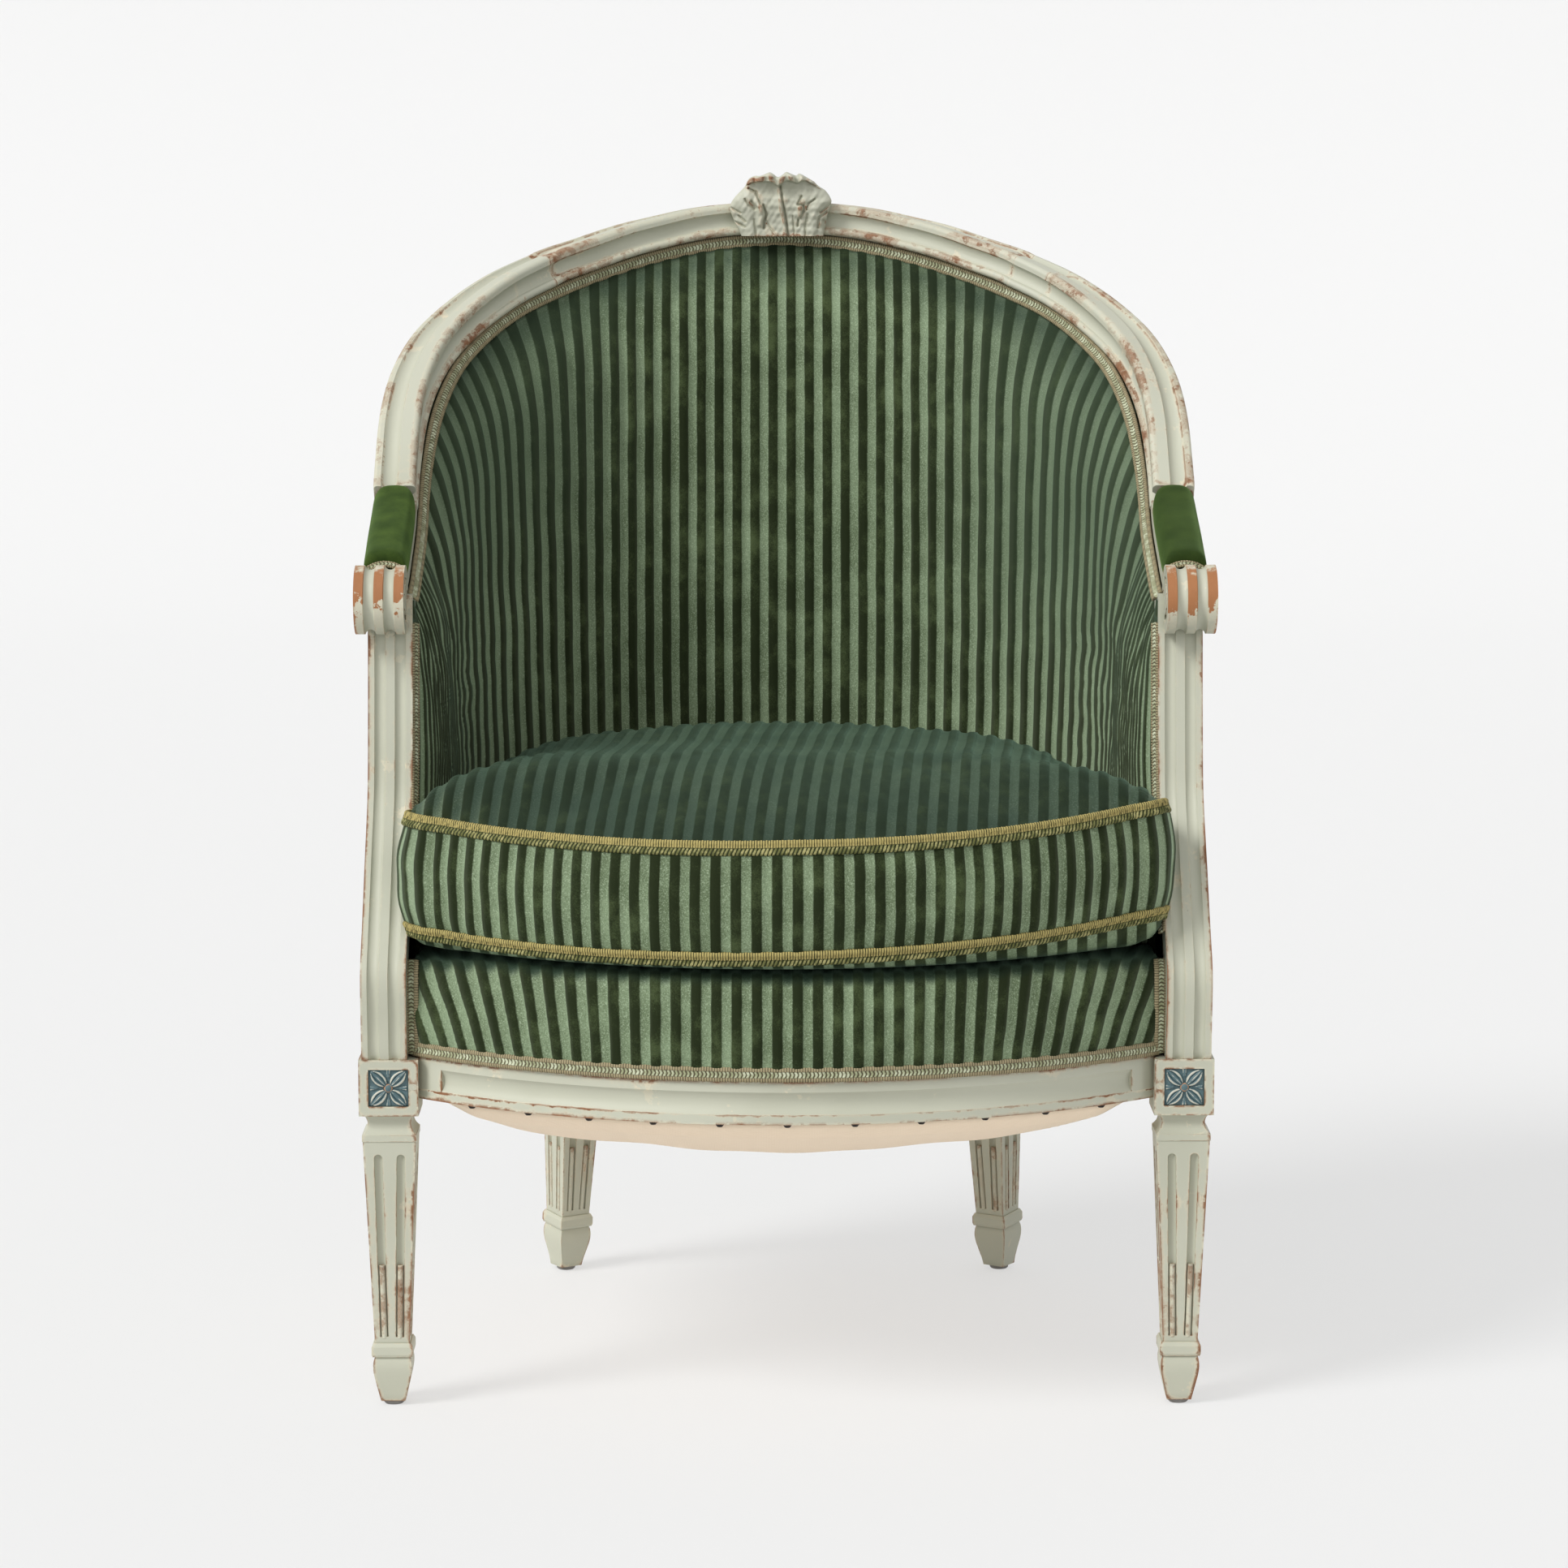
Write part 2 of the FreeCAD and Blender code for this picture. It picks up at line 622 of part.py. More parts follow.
def seat_wire(z, inset, front_y, half_front, corner, side_y):
    """Seat-shaped outline: bowed front, rounded front corners, sides drawn in, horseshoe back."""
    lead = half_front - corner
    lead_y = front_y + FRONT_RADIUS - sqrt(FRONT_RADIUS ** 2 - lead ** 2)
    turn_x = half_front - corner * 0.25
    turn_y = lead_y + corner * 0.5
    end_y = lead_y + corner * 1.3
    side = SEAT_HALF_WIDTH - inset
    steps = [(0, front_y, lead, lead_y), (turn_x, turn_y, half_front, end_y)]
    steps += [(side, side_y), (side, SIDE_END_Y)]
    steps += horseshoe_steps(inset)
    steps += [(-side, side_y), (-half_front, end_y), (-turn_x, turn_y, -lead, lead_y)]
    return outline(level(z), (-lead, lead_y), steps)


def cushion_wire(z, scale, inset=CUSHION_INSET):
    grow = CUSHION_INSET - inset
    wire = seat_wire(0, inset, CUSHION_FRONT_Y - grow, CUSHION_HALF_FRONT + grow, 26, CUSHION_SIDE_Y)
    wire = wire.scaled(scale, CUSHION_CENTRE)
    wire.translate(V(0, 0, z))
    return wire


def seat_cushion():
    """Crowned top, border drawn in at both seams, shallow lower crown."""
    middle = (LOWER_SEAM + UPPER_SEAM) / 2
    border = [(LOWER_SEAM, 1.0), (middle, 1.013), (UPPER_SEAM, 1.0)]
    crown = []
    for scale in (1.0, 0.94, 0.82, 0.64, 0.42, 0.2):
        crown.append((UPPER_SEAM + CUSHION_CROWN * (1 - scale ** 2.4), scale))
    base = [(LOWER_SEAM, 1.0), (CUSHION_BOTTOM + 3, 0.96), (CUSHION_BOTTOM, 0.86)]
    lofts = []
    for stops in (border, crown, base):
        lofts.append(Part.makeLoft([cushion_wire(*stop) for stop in stops], True, False))
    return lofts[0].fuse(lofts[1:]).removeSplitter()


def cushion_gimp(seam):
    low = seam - GIMP_WIDTH / 2
    outer = prism(cushion_wire(low, 1.0, CUSHION_INSET - 2.2 - GIMP_THICK), GIMP_WIDTH)
    inner = prism(cushion_wire(low, 1.0, CUSHION_INSET - 2.2), GIMP_WIDTH)
    return outer.cut(inner)


def deck_wire(z, shrink):
    return seat_wire(z, 61 + shrink, FRONT_RAIL_Y - 1 + shrink, DECK_HALF_FRONT - shrink, 10, 64)


def seat_deck():
    """Stuffed platform under the cushion, with its front wall brought down over the front rail."""
    stops = ((PAD_BOTTOM, 0), (335, -0.5), (354, 2), (DECK_TOP, 14))
    deck = Part.makeLoft([deck_wire(*stop) for stop in stops], True, False)
    centre = V(0, FRONT_CENTRE_Y, SHOW_WOOD_TOP)
    height = PAD_BOTTOM - SHOW_WOOD_TOP
    apron = Part.makeCylinder(FRONT_RADIUS + 0.8, height, centre)
    apron = apron.cut(Part.makeCylinder(FRONT_RADIUS - 4.2, height, centre))
    half = DECK_HALF_FRONT - 1
    apron = apron.common(box((-half, -150, SHOW_WOOD_TOP), (half, -5, PAD_BOTTOM)))
    return one_solid(deck.fuse(apron))


def front_gimp():
    """Braid along the foot of the deck front and up both of its ends."""
    centre = V(0, FRONT_CENTRE_Y, SHOW_WOOD_TOP)
    height = DECK_TOP - 14 - SHOW_WOOD_TOP
    radius = FRONT_RADIUS + 2.8
    wall = Part.makeCylinder(radius + GIMP_THICK, height, centre)
    wall = wall.cut(Part.makeCylinder(radius, height, centre))
    half = DECK_HALF_FRONT - 5
    strip = box((-half, -150, SHOW_WOOD_TOP), (half, -5, SHOW_WOOD_TOP + GIMP_WIDTH))
    end = box((half - GIMP_WIDTH, -150, SHOW_WOOD_TOP), (half, -5, SHOW_WOOD_TOP + height))
    return one_solid(wall.common(strip.fuse([end, mirrored(end)])))


def stuffing_top(station):
    slope = (smooth(EDGE_LINE, station + 1) - smooth(EDGE_LINE, station - 1)) / 2
    return smooth(EDGE_LINE, station) - (FRAME_FACE - 0.6) * hypot(1, slope)


def stuffing_swell(station):
    """Depth of the padded face: full round the back, drawn in towards the arm fronts."""
    share = min(max((station - 566) / 124, 0), 1)
    return STUFFING_FAR + (STUFFING_FRONT_FAR - STUFFING_FAR) * share


def stuffing_wire(station):
    s = abs(station)
    top = stuffing_top(s)
    swell = stuffing_swell(s)
    middle = PAD_BOTTOM + (top - PAD_BOTTOM) * 0.45

    def place(depth, z):
        return barrel_point(station, depth, z)

    return outline(place, (STUFFING_NEAR, PAD_BOTTOM),
                   [(swell - 2, PAD_BOTTOM), (swell, middle, STUFFING_NEAR + 5, top), (STUFFING_NEAR, top),
                    (STUFFING_NEAR, PAD_BOTTOM)])


def stations_round(end):
    """Stations from one arm front round the back to the other, closer where the frame drops."""
    half = [0, 50, 100, 150, 203, 245, 290, 335, 380, 420, 450, 470, 490, 510, 535, 566, 600, 640, end]
    return [-s for s in reversed(half[1:])] + half


def front_of_support(extra, low, high):
    """Space in front of the arm supports, in their side view, wide enough for the whole chair."""
    points = [(-200, low)]
    for z in spread(low, high, 14):
        points.append((support_front(min(max(z, 277), 626)) + extra, z))
    points.append((-200, high))
    corners = [V(-400, y, z) for y, z in points]
    return Part.Face(Part.makePolygon(corners + corners[:1])).extrude(V(800, 0, 0))


def inside_back(arm_shape, support):
    """Padding of the back and the inside of both arms, one piece as it is covered."""
    pad = Part.makeLoft([stuffing_wire(s) for s in stations_round(STUFFING_END)], True, True)
    clear_deck = box((-400, -200, 300), (400, 66, DECK_TOP + 4))
    room = [front_of_support(GIMP_WIDTH + 0.5, 300, 720), clear_deck]
    for wood in (arm_shape, support):
        room += [wood, mirrored(wood)]
    return one_solid(pad.cut(room))


def cover_wire(station):
    s = abs(station)
    slope = (smooth(EDGE_LINE, s + 1) - smooth(EDGE_LINE, s - 1)) / 2
    top = smooth(EDGE_LINE, s) - (FRAME_FACE - 4) * hypot(1, slope)
    low = SHOW_WOOD_TOP + GAP

    def place(depth, z):
        return barrel_point(station, depth, z)

    corners = [(COVER_NEAR, low), (COVER_FAR, low), (COVER_FAR, top), (COVER_NEAR, top)]
    return outline(place, corners[0], corners[1:] + corners[:1])


def outside_cover(arm_shape, support, frame_pieces):
    """Cloth of the outside back and arms."""
    cover = Part.makeLoft([cover_wire(s) for s in stations_round(STUFFING_END)], True, False)
    room = [front_of_support(SUPPORT_DEPTH + 0.6, 270, 720)]
    for wood in [arm_shape, support] + frame_pieces:
        room += [wood, mirrored(wood)]
    return one_solid(cover.cut(room))


def back_gimp(woods):
    """Braid along the inner edge of the back frame and arms."""
    near = FRAME_REBATE + 1.3
    far = near + GIMP_THICK - 0.4
    low = FRAME_FACE - 1.4
    high = low - GIMP_WIDTH
    corners = [(near, high), (far, high), (far, low), (near, low)]
    end = PAD_FRONT - 8
    stations = [s for s in stations_round(end) if abs(s) <= end]
    wires = [outline(frame_place(s), corners[0], corners[1:] + corners[:1]) for s in stations]
    return one_solid(Part.makeLoft(wires, True, False).cut(woods))


def arm_front_gimp():
    """Braid down the inner face of an arm support, at the front edge of the padding."""
    near = []
    far = []
    for z in spread(400, 590, 10):
        near.append(V(SUPPORT_X - SUPPORT_WIDTH / 2 - GAP - GIMP_THICK, support_front(z) + 1, z))
        far.append(near[-1] + V(0, GIMP_WIDTH - 1.5, 0))
    corners = near + far[::-1]
    return Part.Face(Part.makePolygon(corners + corners[:1])).extrude(V(GIMP_THICK, 0, 0))


def outside_gimp():
    """Braid along the foot of the outside cover."""
    low, high = SHOW_WOOD_TOP + 0.5, SHOW_WOOD_TOP + 0.5 + GIMP_WIDTH
    near, far = -1.0 - GIMP_THICK, -1.0
    right = [ring_prism(near, far, low, high, SIDE_STATION, BACK_STATION),
             straight_prism(near, far, low, high, SIDE_END_Y, 14)]
    back = ring_prism(near, far, low, high, -BACK_STATION, BACK_STATION)
    return back.fuse(right + [mirrored(piece) for piece in right]).removeSplitter()


def pad_wire(station, scale):
    """Domed section of an arm pad."""
    foot = PAD_SEAT - GAP
    shoulder = foot - 10 * scale
    crown = foot - 21 * scale
    return outline(frame_place(station), (1, foot),
                   [(33, foot), (33.5, shoulder), (17, crown, 0.5, shoulder), (1, foot)])


def arm_pad(arm_shape):
    stops = ((PAD_REAR + 0.4, 0.62), (PAD_REAR + 6, 0.88), (PAD_REAR + 25, 1.0), (530, 1.04), (565, 1.06),
             (595, 1.02), (PAD_FRONT - 12, 0.92), (PAD_FRONT - 3, 0.7))
    pad = Part.makeLoft([pad_wire(*stop) for stop in stops], True, False)
    return one_solid(pad.cut(arm_shape))


def arm_pad_gimp(arm_shape):
    """Braid across the front end of an arm pad."""
    start = (0.5, PAD_SEAT - GAP)
    steps = [(33.5, PAD_SEAT - GAP), (33.5, PAD_SEAT - 9), (17, PAD_SEAT - 14, 0.5, PAD_SEAT - 9), start]
    strip = frame_loft(PAD_FRONT - 2.6, PAD_FRONT - 0.4, 2, start, steps)
    return one_solid(strip.cut(arm_shape))


def half_width_at(y):
    """Half width of the plan at inset zero, for y behind the front legs."""
    if y <= SIDE_END_Y:
        return SEAT_HALF_WIDTH
    rise = y - SIDE_END_Y
    if rise <= SHOULDER_RADIUS * cos(LEG_TURN):
        return SHOULDER_X + sqrt(SHOULDER_RADIUS ** 2 - rise ** 2)
    return sqrt(BACK_RADIUS ** 2 - (y - BACK_CENTRE_Y) ** 2)


def back_y_at(x):
    if abs(x) <= BACK_RADIUS * sin(LEG_TURN):
        return BACK_CENTRE_Y + sqrt(BACK_RADIUS ** 2 - x * x)
    return SIDE_END_Y + sqrt(SHOULDER_RADIUS ** 2 - (abs(x) - SHOULDER_X) ** 2)


def seat_webbing_long():
    """Bands from the front rail to the back rail, under both."""
    straps = []
    high = RAIL_BOTTOM - GAP
    inner = FRONT_RADIUS - FRONT_RAIL_THICK + 16
    half = STRAP_WIDTH / 2
    for x in STRAP_X:
        front = FRONT_CENTRE_Y - sqrt(inner ** 2 - x * x)
        back = back_y_at(abs(x) + half) - 30
        straps.append(box((x - half, front, high - STRAP_THICK), (x + half, back, high)))
    return straps


def seat_webbing_cross():
    """Bands from side to side, below the long ones."""
    straps = []
    high = RAIL_BOTTOM - STRAP_THICK - 2 * GAP
    half = STRAP_WIDTH / 2
    for y in STRAP_Y:
        reach = half_width_at(y + half) - 28
        straps.append(box((-reach, y - half, high - STRAP_THICK), (reach, y + half, high)))
    return straps


def spring_point(turn, base, low, high):
    """Point of an hourglass coil after so many turns."""
    share = turn / SPRING_TURNS
    radius = SPRING_WAIST + (SPRING_RADIUS - SPRING_WAIST) * (2 * share - 1) ** 2
    angle = 2 * pi * turn
    return V(base.x + radius * cos(angle), base.y + radius * sin(angle), low + (high - low) * share)


def seat_spring(base, low, high):
    """Hourglass coil of six-sided wire."""
    wires = []
    for i in range(SPRING_STEPS * SPRING_TURNS + 1):
        turn = i / SPRING_STEPS
        here = spring_point(turn, base, low, high)
        ahead = spring_point(turn + 0.01, base, low, high) - spring_point(turn - 0.01, base, low, high)
        out = V(here.x - base.x, here.y - base.y, 0).normalize()
        up = ahead.cross(out).normalize()
        corners = []
        for sixth in range(6):
            angle = sixth * pi / 3
            corners.append(here + (out * cos(angle) + up * sin(angle)) * SPRING_WIRE)
        wires.append(Part.makePolygon(corners + corners[:1]))
    return Part.makeLoft(wires, True, True)


def least_turn_gap(low, high):
    """Clear space between neighbouring turns, measured between points along the wire."""
    points = [spring_point(i / 24, V(0, 0, 0), low, high) for i in range(24 * SPRING_TURNS + 1)]
    far = []
    for i, point in enumerate(points):
        far += [point.distanceToPoint(other) for other in points[i + 12:]]
    return min(far) - 2 * SPRING_WIRE


def seat_springs():
    springs = []
    low = RAIL_BOTTOM + SPRING_WIRE + GAP
    high = RAIL_TOP - SPRING_WIRE - GAP
    for x in STRAP_X[1:4]:
        for y in STRAP_Y[1:4]:
            springs.append(seat_spring(V(x, y, 0), low, high))
    print("least gap between spring turns", round(least_turn_gap(low, high), 2))
    return springs


def spring_canvas():
    wire = seat_wire(RAIL_TOP + GAP, 32, FRONT_RAIL_Y + 8, 282, 20, 64)
    return prism(wire, CANVAS_TOP - RAIL_TOP - GAP)


def dust_wire(z, shrink):
    return seat_wire(z, 8 + shrink, FRONT_RAIL_Y + 8 + shrink, 300 - shrink, 14, 70 + shrink * 0.3)


def dust_cover(legs):
    """Thin cloth under the seat, hanging slack."""
    outer = []
    inner = []
    base = dust_wire(0, 0)
    for scale in (1.0, 0.93, 0.84, 0.72, 0.58, 0.42, 0.24, 0.08):
        wire = base.scaled(scale, V(0, 150, 0))
        z = DUST_LOWEST + (DUST_RIM - DUST_LOWEST) * scale ** 2.2
        outer.append(wire.translated(V(0, 0, z)))
        inner.append(wire.translated(V(0, 0, z + DUST_THICK)))
    cloth = Part.makeLoft(outer, True, True).cut(Part.makeLoft(inner, True, True))
    return one_solid(cloth.cut(legs))


def dust_tacks():
    """Tack heads along the underside of the rails."""
    tacks = []
    spots = []
    for angle in spread(-33, 33, 11):
        radius = FRONT_RADIUS - 4.5
        spots.append(V(radius * sin(radians(angle)), FRONT_CENTRE_Y - radius * cos(radians(angle)), 0))
    for station in spread(60, SIDE_STATION + 130, 9):
        if abs(station - BACK_STATION) > REAR_BLOCK_WIDTH * 0.75:
            spots += [plan_point(station, 6), plan_point(-station, 6)]
    for spot in spots:
        tacks.append(Part.makeCone(2.0, 3.8, TACK_HEIGHT, V(spot.x, spot.y, RAIL_BOTTOM - TACK_HEIGHT)))
    return tacks


def back_webbing():
    """Upright bands that carry the padding of the back."""
    straps = []
    for station in BACK_STRAPS:
        wires = []
        for z in (RAIL_TOP + GAP, stuffing_top(abs(station) + 25) - 2):
            corners = []
            for depth, side in ((24.2, -22), (24.2, 22), (25.8, 22), (25.8, -22)):
                corners.append(barrel_point(station + side, depth, z))
            wires.append(Part.makePolygon(corners + corners[:1]))
        straps.append(Part.makeLoft(wires, True, True))
    return straps


def build():
    shapes = {}
    crest = crest_rail()
    side = back_side()
    arm_right = arm()
    support = arm_support(arm_right)
    upright, head = back_post()
    rear = rear_leg()
    rear_block = turn_to_rear(box((-22, -22, BLOCK_BOTTOM), (22, 22, RAIL_TOP)))
    pegs = joint_pegs()
    screws = block_screws()
    rail_front = front_rail()
    rail_side = side_rail(rear_block)
    rail_back = back_rail([rear_block, mirrored(rear_block)])

    blocks = corner_blocks([rail_front, rail_side, rail_back, front_leg()])
    sinkings = place_rosette(rosette_panel(0))
    leg = front_leg().cut([support, rail_front, rail_side] + sinkings + pegs[:2])
    rebate = ring_prism(-6, REBATE_INSET, SHOW_WOOD_TOP, RAIL_TOP + 1, 130, BACK_STATION)
    rebate = rebate.fuse(ring_prism(-6, REBATE_INSET, SHOW_WOOD_TOP, RAIL_TOP + 1, 280, BACK_STATION))
    post = rear.cut(rebate).fuse([upright.cut(crest).cut(side), head])
    post = one_solid(post.cut([rail_side, rail_back] + pegs[2:] + screws))
    rail_front = rail_front.cut([rail_side, mirrored(rail_side)] + pegs[:1] + [mirrored(pegs[0])]
                                + screws + [mirrored(s) for s in screws])
    rail_side = one_solid(rail_side.cut(pegs + screws))
    rail_back = one_solid(rail_back.cut(pegs + [mirrored(p) for p in pegs]))
    blocks = [one_solid(b.cut(screws)) for b in blocks]

    pair(shapes, "front_leg", one_solid(leg))
    pair(shapes, "rear_leg", post)
    pair(shapes, "arm_support", support)
    pair(shapes, "arm", arm_right)
    pair(shapes, "back_side", side)
    shapes["crest_rail"] = crest
    shapes["crest_carving"] = crest_carving(crest)
    shapes["front_rail"] = one_solid(rail_front)
    pair(shapes, "side_rail", rail_side)
    shapes["back_rail"] = rail_back
    for name, solids in (("corner_blocks", blocks), ("corner_block_screws", screws), ("joint_pegs", pegs)):
        shapes[name] = Part.makeCompound(solids + [mirrored(s) for s in solids])
    shapes["corner_rosettes"] = Part.makeCompound(rosettes())
    shapes["foot_glides"] = Part.makeCompound(foot_glides())
    shapes["seat_webbing_long"] = Part.makeCompound(seat_webbing_long())
    shapes["seat_webbing_cross"] = Part.makeCompound(seat_webbing_cross())
    shapes["seat_springs"] = Part.makeCompound(seat_springs())
    shapes["spring_canvas"] = spring_canvas()
    shapes["seat_deck"] = seat_deck()
    shapes["seat_front_gimp"] = front_gimp()
    shapes["dust_cover"] = dust_cover([leg, mirrored(leg), post, mirrored(post)])
    shapes["dust_cover_tacks"] = Part.makeCompound(dust_tacks())
    shapes["back_webbing"] = Part.makeCompound(back_webbing())
    shapes["inside_back"] = inside_back(arm_right, support)
    shapes["outside_cover"] = outside_cover(arm_right, support, [crest, side, post])
    woods = [arm_right, support, post]
    shapes["back_gimp"] = back_gimp(woods + [mirrored(wood) for wood in woods])
    shapes["outside_gimp"] = outside_gimp()
    pair(shapes, "arm_front_gimp", arm_front_gimp())
    pair(shapes, "arm_pad", arm_pad(arm_right))
    pair(shapes, "arm_pad_gimp", arm_pad_gimp(arm_right))
    shapes["seat_cushion"] = seat_cushion()
    shapes["cushion_gimp_upper"] = cushion_gimp(UPPER_SEAM)
    shapes["cushion_gimp_lower"] = cushion_gimp(LOWER_SEAM)
    return shapes


def main():
    os.makedirs("parts", exist_ok=True)
    shapes = build()
    whole = Part.makeCompound(list(shapes.values())).optimalBoundingBox(False, False)
    middle_y = (whole.YMin + whole.YMax) / 2
    print("size", round(whole.XLength, 2), round(whole.YLength, 2), round(whole.ZLength, 2))
    print("moved forward by", round(middle_y, 4))
    for name, shape in shapes.items():
        shape.translate(V(0, -middle_y, 0))
        print(name, len(shape.Solids), shape.isValid(), round(shape.Volume / 1000, 2))
        shape.exportStep("parts/" + name + ".step")


main()
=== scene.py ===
import math
import random

import bpy
import numpy as np
from mathutils import Euler, Matrix


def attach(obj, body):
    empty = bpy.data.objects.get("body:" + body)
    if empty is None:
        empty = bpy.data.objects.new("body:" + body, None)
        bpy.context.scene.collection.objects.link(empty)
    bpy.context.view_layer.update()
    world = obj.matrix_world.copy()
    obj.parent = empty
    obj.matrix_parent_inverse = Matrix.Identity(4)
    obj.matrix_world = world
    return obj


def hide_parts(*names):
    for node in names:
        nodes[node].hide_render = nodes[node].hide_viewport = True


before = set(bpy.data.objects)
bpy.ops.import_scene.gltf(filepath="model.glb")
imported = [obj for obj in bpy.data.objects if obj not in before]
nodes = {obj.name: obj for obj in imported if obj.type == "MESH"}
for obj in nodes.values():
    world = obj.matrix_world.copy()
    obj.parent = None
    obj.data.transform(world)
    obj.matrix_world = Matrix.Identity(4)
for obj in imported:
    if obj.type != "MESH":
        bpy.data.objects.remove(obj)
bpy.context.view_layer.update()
print("frame loaded with", len(nodes), "nodes")

# Plan of the chair, in millimetres as in the workshop drawing; meshes are made in metres.
plan = {"halfWidth": 318.0, "sideEnd": 204.4, "shoulder": 276.7, "legTurn": math.radians(33.0),
        "flare": 0.035, "lean": 0.068, "blockTop": 277.0, "forward": 219.8418}
shoulderX = plan["halfWidth"] - plan["shoulder"]
backRadius = plan["shoulder"] + shoulderX / math.sin(plan["legTurn"])
backCentre = plan["sideEnd"] - shoulderX / math.tan(plan["legTurn"])
backStation = backRadius * plan["legTurn"]
sideStation = backStation + plan["shoulder"] * (math.pi / 2 - plan["legTurn"])
edgeLine = [(0, 927), (59, 922.9), (118, 911.8), (177, 895.5), (226, 879.4), (267, 864.3), (323, 838.5),
            (371, 813.1), (422, 775.4), (455, 739), (480, 709), (505, 692), (560, 672), (620, 655), (760, 648)]
supportLine = [(277, -22), (310, -25), (345, -25), (380, 0), (427, 33), (460, 58), (497, 72), (552, 81),
               (598, 86), (626, 88)]
frontArc = {"radius": 448.0, "front": -113.5}
stripe = 15.2  # one dark and one light stripe of the velvet


def smoothLine(knots, at):
    table = np.array(knots, float)
    xs, zs = table[:, 0], table[:, 1]
    last = len(xs) - 1
    low = np.maximum(np.arange(last + 1) - 1, 0)
    high = np.minimum(np.arange(last + 1) + 1, last)
    slope = (zs[high] - zs[low]) / (xs[high] - xs[low])
    i = np.clip(np.searchsorted(xs, at, side="right") - 1, 0, last - 1)
    span = xs[i + 1] - xs[i]
    t = (at - xs[i]) / span
    start = (1 + 2 * t) * (1 - t) ** 2 * zs[i] + t * (1 - t) ** 2 * span * slope[i]
    return start + t * t * (3 - 2 * t) * zs[i + 1] + t * t * (t - 1) * span * slope[i + 1]


def planTurn(station):
    s = np.abs(station)
    return np.where(s <= backStation, s / backRadius,
                    np.minimum(plan["legTurn"] + (s - backStation) / plan["shoulder"], math.pi / 2))


def planPoint(station, inset):
    s = np.abs(station)
    turn = planTurn(station)
    onBack = s <= backStation
    radius = np.where(onBack, backRadius, plan["shoulder"]) - inset
    x = np.where(onBack, 0, shoulderX) + radius * np.sin(turn)
    y = np.where(onBack, backCentre, plan["sideEnd"]) + radius * np.cos(turn) - np.maximum(s - sideStation, 0)
    return np.where(station < 0, -x, x), y


def barrelPoint(station, depth, z):
    rise = z - plan["blockTop"]
    x, y = planPoint(station, depth - plan["flare"] * rise)
    return np.stack([x, y + plan["lean"] * rise - plan["forward"], z + 0 * x], -1)


def unit(vectors):
    return vectors / np.maximum(np.linalg.norm(vectors, axis=-1, keepdims=True), 1e-9)


def edgePoint(station):
    return barrelPoint(station, 0.0, smoothLine(edgeLine, np.abs(station)))


def framePlace(station, depth, drop):  # a point of the frame's moulding, with the ways to its back and top
    along = unit(edgePoint(station + 1) - edgePoint(station - 1))
    turn = planTurn(station)
    normal = np.stack([np.where(station < 0, -1, 1) * np.sin(turn), np.cos(turn), 0 * turn], -1)
    up = unit(np.cross(along, normal))
    up = up * np.where(up[..., 2:] < 0, -1, 1)
    back = np.cross(up, along)
    back = back * np.where((back * normal).sum(-1, keepdims=True) < 0, -1, 1)
    return edgePoint(station) - back * np.asarray(depth)[..., None] - up * np.asarray(drop)[..., None], back, up


def fade(value, low, high):
    t = np.clip((value - low) / (high - low), 0, 1)
    return t * t * (3 - 2 * t)


def waves(seed, a, b, size, count=7):  # soft unevenness over two directions, the same every run
    draw = random.Random(seed)
    total = 0
    for _ in range(count):
        angle = draw.uniform(0, 2 * math.pi)
        pitch = draw.uniform(0.6, 1.6) * 2 * math.pi / size
        total = total + np.sin((a * math.cos(angle) + b * math.sin(angle)) * pitch + draw.uniform(0, 6.3))
    return total / math.sqrt(count)


# Modelling helpers
def clearHands():
    if bpy.context.mode != "OBJECT":
        bpy.ops.object.mode_set(mode="OBJECT")
    bpy.ops.object.select_all(action="DESELECT")


def takeUp(piece):
    clearHands()
    piece.select_set(True)
    bpy.context.view_layer.objects.active = piece


def gridPiece(name, columns, rows, place):  # a flat grid whose points are then moved to the shape
    clearHands()
    bpy.ops.mesh.primitive_grid_add(x_subdivisions=columns, y_subdivisions=rows, size=2)
    piece = bpy.context.object
    piece.name = piece.data.name = name
    u, v = np.meshgrid(np.linspace(0, 1, columns + 1), np.linspace(0, 1, rows + 1))
    points, weave = place(u, v)
    piece.data.vertices.foreach_set("co", (points.reshape(-1, 3) * 0.001).astype(np.float32).ravel())
    corner = np.empty(len(piece.data.loops), np.int32)
    piece.data.loops.foreach_get("vertex_index", corner)
    layer = piece.data.uv_layers[0]
    layer.name = "weave"
    layer.data.foreach_set("uv", weave.reshape(-1, 2)[corner].astype(np.float32).ravel())
    piece.data.update()
    bpy.ops.object.shade_smooth()
    return piece


def raised(points, height):  # moves a grid of points along its own normals
    across = np.gradient(points, axis=1)
    along = np.gradient(points, axis=0)
    return points + unit(np.cross(across, along)) * height[..., None]


def tidyMesh(piece, distance=0.00004):  # welds what touches and turns the faces outwards
    takeUp(piece)
    bpy.ops.object.mode_set(mode="EDIT")
    bpy.ops.mesh.select_all(action="SELECT")
    bpy.ops.mesh.remove_doubles(threshold=distance)
    bpy.ops.mesh.normals_make_consistent(inside=False)
    bpy.ops.object.mode_set(mode="OBJECT")
    return piece


def joinPieces(name, pieces):
    clearHands()
    for piece in pieces:
        piece.select_set(True)
    bpy.context.view_layer.objects.active = pieces[0]
    bpy.ops.object.join()
    pieces[0].name = pieces[0].data.name = name
    return pieces[0]


def thicken(piece, thickness, offset=-1.0):
    takeUp(piece)
    wall = piece.modifiers.new("wall", "SOLIDIFY")
    wall.thickness = thickness
    wall.offset = offset
    wall.use_even_offset = False
    bpy.ops.object.modifier_apply(modifier="wall")
    return piece


